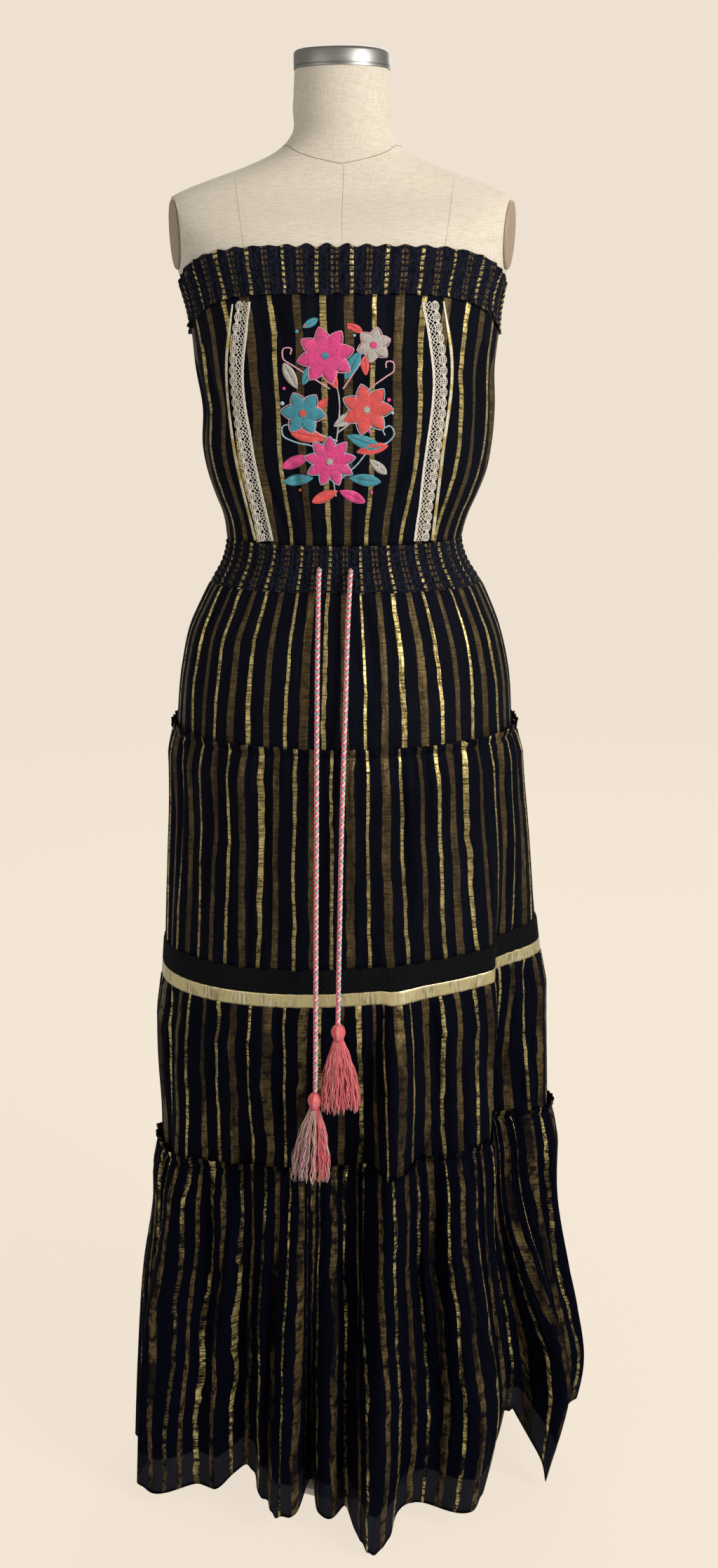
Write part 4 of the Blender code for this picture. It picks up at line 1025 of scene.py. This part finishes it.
tassels = {
    "length": 0.094, "neck": 0.0148, "flare": 0.0212, "depth": 0.60, "yarns": 165, "yarn": 0.00056,
    "lean": {"left": 4.0, "right": -2.0}, "grey": {"left": 0.55, "right": 0.12},
    "pinks": (shade(226, 100, 110), shade(216, 76, 92), shade(234, 138, 134), shade(228, 114, 120)),
    "pales": (shade(218, 190, 170), shade(140, 108, 110), shade(186, 140, 134), shade(204, 166, 152)),
    # the head's rings: radius, distance under the top
    "head": ((0.0012, 0.0), (0.0036, 0.0004), (0.0056, 0.0022), (0.0069, 0.0052), (0.0072, 0.0082),
             (0.0066, 0.0114), (0.0052, 0.0140), (0.0046, 0.0155), (0.0012, 0.0157)),
}


def smoothRoute(route, count):
    # a cubic through the route's places, cut into steps of equal length; also its whole length
    places = np.array([(x, bodyY - before, z) for x, z, before in route])
    along = np.concatenate([[0.0], np.cumsum(np.linalg.norm(np.diff(places, axis=0), axis=1))])
    fine = np.linspace(0.0, along[-1], 2000)
    dense = np.stack([smoothCubic(fine, along, places[:, k]) for k in range(3)], 1)
    run = np.concatenate([[0.0], np.cumsum(np.linalg.norm(np.diff(dense, axis=0), axis=1))])
    even = np.linspace(0.0, run[-1], count)
    return np.stack([np.interp(even, run, dense[:, k]) for k in range(3)], 1), run[-1]


def cordStrands(path, length):
    # four strands, two each way round; where they cross, one pair lies outside and then the other
    samples = len(path)
    along = np.gradient(path, axis=0)
    along /= np.linalg.norm(along, axis=1, keepdims=True)
    side = np.cross(along, (0.0, -1.0, 0.0))
    side /= np.linalg.norm(side, axis=1, keepdims=True)
    up = np.cross(side, along)
    turn = math.tau * np.linspace(0.0, length, samples) / cords["turn"]
    strands = []
    for way, start in ((1.0, 0.0), (1.0, math.pi), (-1.0, math.pi / 2.0), (-1.0, -math.pi / 2.0)):
        radius = cords["diameter"] / 2.0 - cords["strand"] - cords["weave"] * 0.3
        radius = radius + way * cords["weave"] * np.cos(2.0 * (turn - math.pi / 4.0))
        a = way * turn + start
        strands.append(path + radius[:, None] * (np.cos(a)[:, None] * side + np.sin(a)[:, None] * up))
    return np.stack(strands)


def tasselParts(side, top):
    # yarns hang from the neck in a bell; a ridged ball and three turns of thread hold them
    dice = np.random.default_rng({"left": 71, "right": 83}[side])
    count, samples, sides = tassels["yarns"], 17, 4
    t = np.linspace(0.0, 1.0, samples)[None, :]
    turn = dice.uniform(0.0, math.tau, (count, 1))
    share = np.sqrt(dice.uniform(0.25, 1.0, (count, 1)))
    start = 0.0040 * share
    spread = start + (tassels["flare"] * share - start) * (1.0 - (1.0 - t) ** 2.0)
    drop = tassels["neck"] + (tassels["length"] - tassels["neck"]) * t * dice.uniform(0.90, 1.02, (count, 1))
    curl = 0.0012 * np.sqrt(t)

    def wave():
        return np.sin(math.tau * (t * dice.uniform(1.5, 4.5, (count, 1)) + dice.uniform(0, 1, (count, 1))))

    x = spread * np.cos(turn) + curl * wave()
    y = spread * np.sin(turn) * tassels["depth"] + 0.5 * curl * wave()
    paths = np.stack([x, y, -drop], -1)
    pinks, pales = np.array(tassels["pinks"]), np.array(tassels["pales"])
    chance = tassels["grey"][side] * np.clip(0.9 - 1.1 * np.cos(turn[:, 0]), 0.25, 1.7)
    pale = dice.uniform(0.0, 1.0, count) < chance
    colours = np.where(pale[:, None], pales[dice.integers(0, 4, count)], pinks[dice.integers(0, 4, count)])
    radius = tassels["yarn"] * (0.85 + 0.3 * dice.uniform(0, 1, (count, 1))) * np.where(t > 0.97, 0.7, 1.0)
    parts = [(*tubeParts(paths, radius, sides), tintFor(colours, samples, sides))]
    rings = np.array(tassels["head"])
    columns = 56
    around = (math.tau * np.arange(columns) / columns)[None, :]
    ridged = rings[:, :1] * (1.0 + 0.07 * np.abs(np.cos(7.0 * around)))
    head = np.stack([ridged * np.cos(around), ridged * np.sin(around), -rings[:, 1:] + 0.0 * around], -1)
    ridgeColours = pinks[(np.arange(columns) * 14 // columns) % 4]
    fan = np.array([(0, j, j + 1) for j in range(1, columns - 1)])
    low = (len(rings) - 1) * columns
    headQuads = gridQuads(len(rings), columns, True)
    parts.append((head.reshape(-1, 3), headQuads, np.concatenate([fan, low + fan[:, ::-1]]),
                  np.tile(ridgeColours, (len(rings), 1))))
    a = np.linspace(0.0, math.tau * 3.0, 70)[None, :]
    tie = np.stack([0.0050 * np.cos(a), 0.0050 * np.sin(a), -0.0138 - 0.0009 * a / math.tau], -1)
    parts.append((*tubeParts(tie, 0.0006, 5, (0.0, 0.0, 1.0)), tassels["pinks"][1]))
    lean = math.radians(tassels["lean"][side])
    placed = []
    for points, quads, tris, colour in parts:
        x = points[:, 0] * math.cos(lean) + points[:, 2] * math.sin(lean)
        z = -points[:, 0] * math.sin(lean) + points[:, 2] * math.cos(lean)
        placed.append((np.stack([x, points[:, 1], z], -1) + top, quads, tris, colour))
    return placed


print("cords and tassels")
yarnLooks = tintMaterial("yarn", 0.85, 0.3, 700.0, 0.0004)
for side in ("left", "right"):
    path, length = smoothRoute(cords[side], 620 if side == "left" else 520)
    strands = cordStrands(path, length)
    parts = tubeParts(strands, cords["strand"], 6)
    mesh = joinParts("cord_" + side, [(*parts, tintFor(cords["colours"], len(path), 6))])
    cord = newPiece("cord_" + side + "_braid", mesh, yarnLooks, 0.0, ("cord_" + side,))
    top = np.array(path[-1]) - (0.0, 0.0, 0.0003)
    tasselMesh = joinParts("tassel_" + side, tasselParts(side, top))
    tassel = newPiece("tassel_" + side + "_yarns", tasselMesh, yarnLooks, 0.0, ("tassel_" + side,))
    print("cord", side, "length", round(length, 3))

# Trims on the bodice: middle lines of (x, height); s runs down a trim and t across it, from its inner edge.
trims = {
    "lace": {"width": 0.0178, "repeat": 0.0113, "thread": 0.00038, "colour": shade(243, 234, 218)},
    "braid": {"width": 0.0036, "tick": 0.0016, "colour": shade(240, 232, 200), "gold": shade(206, 180, 106)},
    "lace_left": ((-.1024, 1.353), (-.1106, 1.274), (-.1019, 1.195), (-.0818, 1.094)),
    "lace_right": ((.0930, 1.353), (.1039, 1.274), (.0944, 1.170), (.0857, 1.094)),
    "braid_left": ((-.1146, 1.350), (-.1220, 1.283), (-.1152, 1.195), (-.0936, 1.094)),
    "braid_right": ((.1074, 1.353), (.1168, 1.290), (.1074, 1.185), (.0982, 1.094)),
}
bodiceFace = depthTable(tierSurface("bodice")[0], True)


def alongTrim(middle, s, t, proud, outward):
    # s metres down the middle line and t metres outwards from it, laid on the bodice
    middle = np.array(middle)
    x = smoothCubic(middle[0, 1] - s, middle[::-1, 1], middle[::-1, 0])
    z = middle[0, 1] - s
    ahead = smoothCubic(middle[0, 1] - s - 0.001, middle[::-1, 1], middle[::-1, 0])
    behind = smoothCubic(middle[0, 1] - s + 0.001, middle[::-1, 1], middle[::-1, 0])
    run = (ahead - behind) / 0.002
    i = np.clip(((x + net["half"]) / (2.0 * net["half"]) * (net["columns"] - 1)).astype(int), 0, net["columns"] - 1)
    pitch = bodiceFace["z"][1] - bodiceFace["z"][0]
    j = np.clip(((z - bodiceFace["z"][0]) / pitch).astype(int), 0, net["rows"] - 1)
    shorter = 1.0 / np.sqrt(1.0 + bodiceFace["slopes"][0][i, j] ** 2)
    size = np.hypot(1.0, run)
    return onFace(bodiceFace, x + outward * t * shorter / size, z + outward * t * run / size, proud)


def laceEdges(lobes):
    # the scalloped border's edges: inner as a cosine of the lobes, outer as the size of a sine to the power 0.7
    inner = 0.0118 + 0.0018 * np.cos(math.tau * lobes)
    return inner, 0.0145 + 0.0033 * np.abs(np.sin(math.pi * lobes)) ** 0.7


def lacePaths(length):
    # each thread as (s, t, proud), all with the same number of samples
    repeat = trims["lace"]["repeat"]
    s = np.linspace(0.0, length, 290)
    lobes = s / repeat
    paths = []
    for k in range(4):    # the plain inner edge
        paths.append((s, 0.0004 + 0.00070 * k + 0.0001 * np.sin(lobes * 9.0 + k), 0.0004 + 0.0 * s))
    inner, outer = laceEdges(lobes)
    for k in range(4):    # the scalloped border, a band that follows the lobes
        share = k / 3.0
        paths.append((s, inner + (outer - inner) * share, 0.0004 + 0.0003 * math.sin(math.pi * share) + 0.0 * s))
    for k in range(4):    # the net: threads that run from edge to edge and back
        swing = np.abs(((s / (2.0 * repeat) + k / 4.0) % 1.0) * 2.0 - 1.0)
        paths.append((s, 0.0028 + (inner - 0.0028) * swing, 0.0004 + 0.0002 * np.cos(math.tau * lobes + k)))
    short = []
    for k in range(int(length / repeat * 6)):    # bars across the border
        place = (k + 0.5) * repeat / 6.0
        short.append((place + np.linspace(-0.0003, 0.0003, 5), np.linspace(0.0, 1.0, 5)))
    return np.array(paths), np.array(short)


def makeLace(name, outward):
    # threads along the trim and bars across its border, laid on the bodice
    middle, facts = trims[name], trims["lace"]
    length = middle[0][1] - middle[-1][1]
    long, short = lacePaths(length)
    half = facts["width"] / 2.0
    paths = alongTrim(middle, long[:, 0], long[:, 1] - half, long[:, 2] + 0.0003, outward)
    parts = [(*tubeParts(paths, facts["thread"] * 1.08, 4), facts["colour"])]
    inner, outer = laceEdges(short[:, 0] / facts["repeat"])
    across = inner + (outer - inner) * short[:, 1] - half
    bars = alongTrim(middle, short[:, 0], across, 0.0007 + 0.0 * short[:, 0], outward)
    parts.append((*tubeParts(bars, facts["thread"] * 0.9, 4), facts["colour"]))
    newPiece(name + "_threads", joinParts(name, parts), laceLooks, 0.0, (name,))


def makeBraid(name, outward):
    # a flat strip with fine ribs across, narrowing at its top end
    middle, facts = trims[name], trims["braid"]
    length = middle[0][1] - middle[-1][1]
    s = np.linspace(0.0, length, 420)[:, None]
    share = np.linspace(-1.0, 1.0, 7)[None, :]
    taper = 0.30 + 0.70 * smoothStep(s, 0.0, 0.035)
    rib = 0.00025 * np.abs(np.sin(math.pi * s / facts["tick"])) * (1.0 - 0.4 * np.abs(share))
    proud = 0.0004 + rib - 0.0003 * share**4
    points = alongTrim(middle, s + 0.0 * share, share * facts["width"] / 2.0 * taper, proud, outward)
    quads = gridQuads(len(s), 7, False)
    mesh = newMesh(name, points.reshape(-1, 3), quads if outward < 0 else quads[:, ::-1],
                   gridCorners(share + 0.0 * s, s + 0.0 * share, False, 0.0))
    newPiece(name + "_strip", mesh, braidLooks, 0.0005, (name,))


def braidMaterial():
    # dark ticks across the braid, and stretches of silver and gold along it
    material, tree, shader = newMaterial("silverBraid", Metallic=0.55, Roughness=0.42)
    uv = uvOf(tree)
    moved = stretchedOf(tree, uv, (1.2, 1300.0, 1.0))
    ticks = noiseOf(tree, moved, 1.0, 1.0)
    turned = stretchedOf(tree, uv, (0.1, 42.0, 1.0))
    lengths = noiseOf(tree, turned, 1.0, 2.0)
    bright = mixColours(tree, rangeOf(tree, lengths, 0.46, 0.60), trims["braid"]["colour"], trims["braid"]["gold"])
    colour = mixColours(tree, rangeOf(tree, ticks, 0.34, 0.50), shade(136, 118, 78), bright)
    tree.links.new(colour, shader.inputs["Base Color"])
    addBump(tree, shader, ticks, 0.4, 0.0004)
    return material


print("trims")
laceLooks = tintMaterial("creamThread", 0.9, 0.2, 1200.0, 0.0003)
braidLooks = braidMaterial()
for side, outward in (("left", -1.0), ("right", 1.0)):
    makeLace("lace_" + side, outward)
    makeBraid("braid_" + side, outward)

# Embroidery: motifs of satin stitch in the bodice's plane, (x, height), with angles from +X towards up.
embroidery = {
    "pink": shade(236, 72, 146), "coral": shade(238, 92, 88), "blue": shade(70, 160, 176),
    "silver": shade(200, 192, 182), "pale": shade(240, 176, 190), "sky": shade(168, 208, 224),
    # a thread's radius, the step from stitch to stitch, where petals start, how far flowers lie over the leaves,
    # and the length of a turn of the stems' two threads
    "thread": 0.00040, "pitch": 0.00078, "petalStart": 0.0028, "flowersOver": 0.0009, "twist": 0.0030,
    # x, height, petals, petal length, petal width, first angle, colour, outline, heart
    "flowers": ((-.016, 1.297, 8, .0300, .0168, 12.0, "pink", "pale", "blue"),
                (.027, 1.240, 7, .0275, .0160, 0.0, "coral", "sky", "silver"),
                (-.040, 1.236, 6, .0235, .0156, 55.0, "blue", "pale", "coral"),
                (-.012, 1.184, 9, .0270, .0130, 10.0, "pink", "sky", "silver"),
                (.034, 1.308, 6, .0180, .0120, 18.0, "silver", "pale", "pink")),
    # x, height, angle, length, width, colour
    "leaves": ((-.004, 1.262, 118.0, .026, .012, "coral"), (.004, 1.272, 62.0, .032, .013, "blue"),
               (-.014, 1.252, 226.0, .016, .009, "coral"), (-.008, 1.222, 30.0, .026, .012, "silver"),
               (-.016, 1.208, 170.0, .038, .014, "coral"), (.006, 1.212, -22.0, .040, .014, "blue"),
               (.016, 1.194, 12.0, .034, .012, "coral"), (-.034, 1.190, 205.0, .032, .013, "pink"),
               (-.030, 1.166, 190.0, .032, .012, "blue"), (.008, 1.166, -8.0, .034, .013, "blue"),
               (.026, 1.276, 96.0, .020, .009, "coral"), (-.046, 1.262, 118.0, .030, .012, "silver"),
               (-.040, 1.266, 66.0, .022, .010, "blue"), (-.004, 1.152, 205.0, .030, .012, "coral"),
               (-.002, 1.152, -25.0, .030, .012, "pink"), (.030, 1.186, -42.0, .024, .010, "silver"),
               (-.040, 1.326, 30.0, .018, .008, "blue"), (.006, 1.330, -28.0, .018, .008, "coral")),
    # runs of places that a stem passes, and its colour
    "stems": ((((-.006, 1.146), (-.010, 1.180), (-.004, 1.215), (-.002, 1.250), (-.012, 1.290)), "silver"),
              (((-.004, 1.215), (.010, 1.226), (.022, 1.240)), "silver"),
              (((-.004, 1.206), (-.024, 1.214), (-.040, 1.228)), "silver"),
              (((.002, 1.262), (.018, 1.286), (.034, 1.310)), "pale"),
              (((-.006, 1.160), (.016, 1.180), (.034, 1.200), (.050, 1.205), (.056, 1.214), (.051, 1.222),
                (.044, 1.218), (.046, 1.212)), "sky"),
              (((-.010, 1.176), (-.030, 1.200), (-.050, 1.205), (-.062, 1.212), (-.062, 1.221), (-.055, 1.223),
                (-.053, 1.217)), "sky"),
              (((.010, 1.226), (.030, 1.262), (.046, 1.274), (.055, 1.281), (.054, 1.290), (.047, 1.290),
                (.047, 1.284)), "pale"),
              (((-.012, 1.262), (-.034, 1.276), (-.050, 1.286), (-.061, 1.294), (-.060, 1.304), (-.052, 1.304),
                (-.053, 1.298)), "pale")),
    # x, height, radius, colour
    "dots": ((.050, 1.250, .0022, "pink"), (.054, 1.236, .0017, "sky"), (-.062, 1.246, .0022, "sky"),
             (-.060, 1.262, .0017, "pink"), (.008, 1.326, .0020, "coral"), (.014, 1.318, .0015, "sky"),
             (-.046, 1.322, .0019, "blue"), (-.038, 1.328, .0015, "coral"), (.030, 1.216, .0017, "pink"),
             (.040, 1.178, .0019, "silver"), (-.044, 1.152, .0017, "coral"), (.032, 1.150, .0017, "pink"),
             (-.020, 1.142, .0015, "sky"), (.012, 1.142, .0015, "sky"), (.020, 1.298, .0017, "blue")),
}


def satinPaths(x, z, angle, length, width, slant, halves):
    # threads across a pointed oval; with halves, two sets that meet on its middle line
    count = max(6, int(length / embroidery["pitch"]))
    s = (np.arange(count)[:, None] + 0.5) / count
    half = 0.5 * width * np.sin(math.pi * s**0.8) ** 0.75
    sets = []
    for side in ((-1.0, 1.0) if halves else (0.0,)):
        t = np.linspace(0.0, 1.0, 5)[None, :] if halves else np.linspace(-1.0, 1.0, 5)[None, :]
        across = half * t * (side if halves else 1.0)
        ahead = s * length + slant * np.abs(across) if halves else s * length + slant * across
        rise = 1.0 - (2.0 * t - 1.0) ** 2 if halves else 1.0 - t**2
        arch = 0.00035 + 0.0008 * rise * np.sin(math.pi * s) ** 0.4
        sets.append((ahead, across, arch))
    a = math.radians(angle)
    paths = []
    for ahead, across, arch in sets:
        paths.append(np.stack([x + ahead * math.cos(a) - across * math.sin(a),
                               z + ahead * math.sin(a) + across * math.cos(a), arch], -1))
    return np.concatenate(paths)


def makeEmbroidery():
    # satin petals with outlines and hearts, satin leaves, twisted stems and knots, all laid on the bodice
    begin = embroidery["petalStart"]
    threads, colours, outlines, outlineColours = [], [], [], []
    for x, z, petals, length, width, first, colour, outline, heart in embroidery["flowers"]:
        for k in range(petals):
            angle = first + 360.0 * k / petals
            a = math.radians(angle)
            paths = satinPaths(x + begin * math.cos(a), z + begin * math.sin(a), angle, length - begin, width,
                               0.25, False)
            threads.append(paths)
            colours.append(np.tile(embroidery[colour], (len(paths), 1)))
            s = np.concatenate([np.linspace(0.0, 1.0, 16), np.linspace(1.0, 0.0, 16)[1:]])
            rim = 0.5 * (width + 0.0012) * np.sin(math.pi * s**0.8) ** 0.75 * np.repeat((1.0, -1.0), (16, 15))
            run = 0.0026 + s * (length - 0.0020)
            outlines.append(np.stack([x + run * math.cos(a) - rim * math.sin(a),
                                      z + run * math.sin(a) + rim * math.cos(a), 0.0013 + 0.0 * s], -1))
            outlineColours.append(embroidery[outline])
        for k in range(7):    # a heart of short stitches
            a = math.tau * k / 7.0
            paths = satinPaths(x - 0.0002, z, math.degrees(a), 0.0040, 0.0028, 0.0, False) + (0.0, 0.0, 0.0006)
            threads.append(paths)
            colours.append(np.tile(embroidery[heart], (len(paths), 1)))
    for paths in threads:    # flowers lie over the leaves
        paths[..., 2] += embroidery["flowersOver"]
    for x, z, angle, length, width, colour in embroidery["leaves"]:
        paths = satinPaths(x, z, angle, length, width, 0.7, True)
        threads.append(paths)
        colours.append(np.tile(embroidery[colour], (len(paths), 1)))
    threads, colours = np.concatenate(threads), np.concatenate(colours)
    shaded = 0.82 + 0.30 * np.random.default_rng(5).uniform(0, 1, (len(colours), 1))
    colours = np.concatenate([np.clip(colours[:, :3] * shaded, 0.0, 1.0), colours[:, 3:]], 1)
    outlines = np.array(outlines)

    def laid(paths):
        return onFace(bodiceFace, paths[..., 0], paths[..., 1], paths[..., 2])

    thread = embroidery["thread"]
    parts = [(*tubeParts(laid(threads), thread, 4), tintFor(colours, 5, 4)),
             (*tubeParts(laid(outlines), thread * 1.15, 4), tintFor(outlineColours, outlines.shape[1], 4))]
    stems, stemColours = [], []
    for places, colour in embroidery["stems"]:    # two threads twisted about each other
        places = np.array(places)
        run = np.concatenate([[0.0], np.cumsum(np.hypot(*np.diff(places, axis=0).T))])
        at = np.linspace(0.0, run[-1], 90)
        x, z = smoothCubic(at, run, places[:, 0]), smoothCubic(at, run, places[:, 1])
        tx, tz = np.gradient(x), np.gradient(z)
        size = np.hypot(tx, tz)
        for start in (0.0, math.pi):
            a = math.tau * at / embroidery["twist"] + start
            stems.append(np.stack([x - 0.0005 * np.cos(a) * tz / size, z + 0.0005 * np.cos(a) * tx / size,
                                   0.0004 + 0.0003 * np.sin(a)], -1))
            stemColours.append(embroidery[colour])
    parts.append((*tubeParts(laid(np.array(stems)), 0.00055, 4), tintFor(stemColours, 90, 4)))
    dots, dotColours, dotSizes = [], [], []
    for x, z, radius, colour in embroidery["dots"]:    # small knots
        run = np.linspace(-1.0, 1.0, 7)
        dots.append(np.stack([x + run * radius, z + 0.0 * run, 0.0006 + 0.0 * run], -1))
        dotSizes.append(radius * np.sqrt(np.clip(1.0 - run**2, 0.02, 1.0)))
        dotColours.append(embroidery[colour])
    parts.append((*tubeParts(laid(np.array(dots)), np.array(dotSizes), 10, flat=0.5), tintFor(dotColours, 7, 10)))
    stitchLooks = tintMaterial("stitch", 0.55, 0.3, 900.0, 0.0003)
    newPiece("embroidery_stitches", joinParts("embroidery", parts), stitchLooks)


print("embroidery")
makeEmbroidery()

# Floor and backdrop in one bowl, soft light and the camera.
studio = {
    "camera": (0.0187, -2.057, 1.375), "pitch": 85.0, "lens": 2600.0 / 2237.0 * 36.0, "shiftY": -0.2195,
    "ground": shade(239, 226, 210), "glow": 0.93, "world": 0.42,
    # the bowl in metres: where the floor ends, where the bend starts and its radius, the top, and its columns
    "bowl": {"floor": 3.6, "bendStart": 3.8, "bend": 3.0, "top": 9.0, "columns": 72},
    # lights: place, size, power, colour
    "lights": {"key": ((2.4, -2.2, 2.2), 1.4, 112.0, (1.0, 0.97, 0.93)),
               "fill": ((-2.6, -2.2, 1.6), 2.2, 18.0, (1.0, 0.95, 0.88)),
               "rim": ((0.6, 2.4, 2.6), 1.8, 40.0, (1.0, 1.0, 1.0))},
}


def makeStudio():
    # the photo's camera, a glowing bowl that lights nothing, a pale world and three soft lamps
    scene = bpy.context.scene
    camera = bpy.data.cameras.new("camera")
    camera.lens = studio["lens"]
    camera.sensor_width = 36.0
    camera.shift_y = studio["shiftY"]
    eye = bpy.data.objects.new("camera", camera)
    eye.location = studio["camera"]
    eye.rotation_euler = (math.radians(studio["pitch"]), 0.0, 0.0)
    scene.collection.objects.link(eye)
    scene.camera = eye
    # a wide bowl: flat floor, then a quarter circle up to a wall, turned all the way round
    facts = studio["bowl"]
    bend, columns = np.linspace(0.0, math.pi / 2.0, 24), facts["columns"]
    start, size = facts["bendStart"], facts["bend"]
    radius = np.concatenate([[0.05], np.linspace(0.4, facts["floor"], 12),
                             start + size * np.sin(bend), [start + size]])
    height = np.concatenate([np.zeros(13), size - size * np.cos(bend), [facts["top"]]])
    radius, height = radius[:, None], height[:, None]
    turn = (math.tau * np.arange(columns) / columns)[None, :]
    points = np.stack([radius * np.cos(turn), radius * np.sin(turn), height + 0.0 * turn], -1)
    middle = [(0, j, j + 1) for j in range(1, columns - 1)]
    quads = gridQuads(len(radius), columns, True)[:, ::-1]
    bowl = bpy.data.objects.new("bowl", newMesh("bowl", points.reshape(-1, 3), quads, tris=middle))
    scene.collection.objects.link(bowl)
    bowl.visible_diffuse = False
    bowl.visible_glossy = False
    material, _, shader = newMaterial("bowl", Roughness=1.0, Emission_Strength=studio["glow"])
    shader.inputs["Emission Color"].default_value = studio["ground"]
    shader.inputs["Specular IOR Level"].default_value = 0.0
    shader.inputs["Base Color"].default_value = shade(92, 87, 80)
    bowl.data.materials.append(material)
    world = bpy.data.worlds.new("studio")
    scene.world = world
    world.use_nodes = True
    background = world.node_tree.nodes["Background"]
    background.inputs[0].default_value = (0.95, 0.93, 0.90, 1.0)
    background.inputs[1].default_value = studio["world"]
    for name, (place, size, power, colour) in studio["lights"].items():
        light = bpy.data.lights.new(name, "AREA")
        light.shape = "SQUARE"
        light.size = size
        light.energy = power
        light.color = colour
        lamp = bpy.data.objects.new(name, light)
        lamp.location = place
        lamp.rotation_euler = (Vector((0.0, 0.0, 0.95)) - Vector(place)).to_track_quat("-Z", "Y").to_euler()
        scene.collection.objects.link(lamp)
    scene.view_settings.view_transform = "Standard"


makeStudio()
print("studio ready")
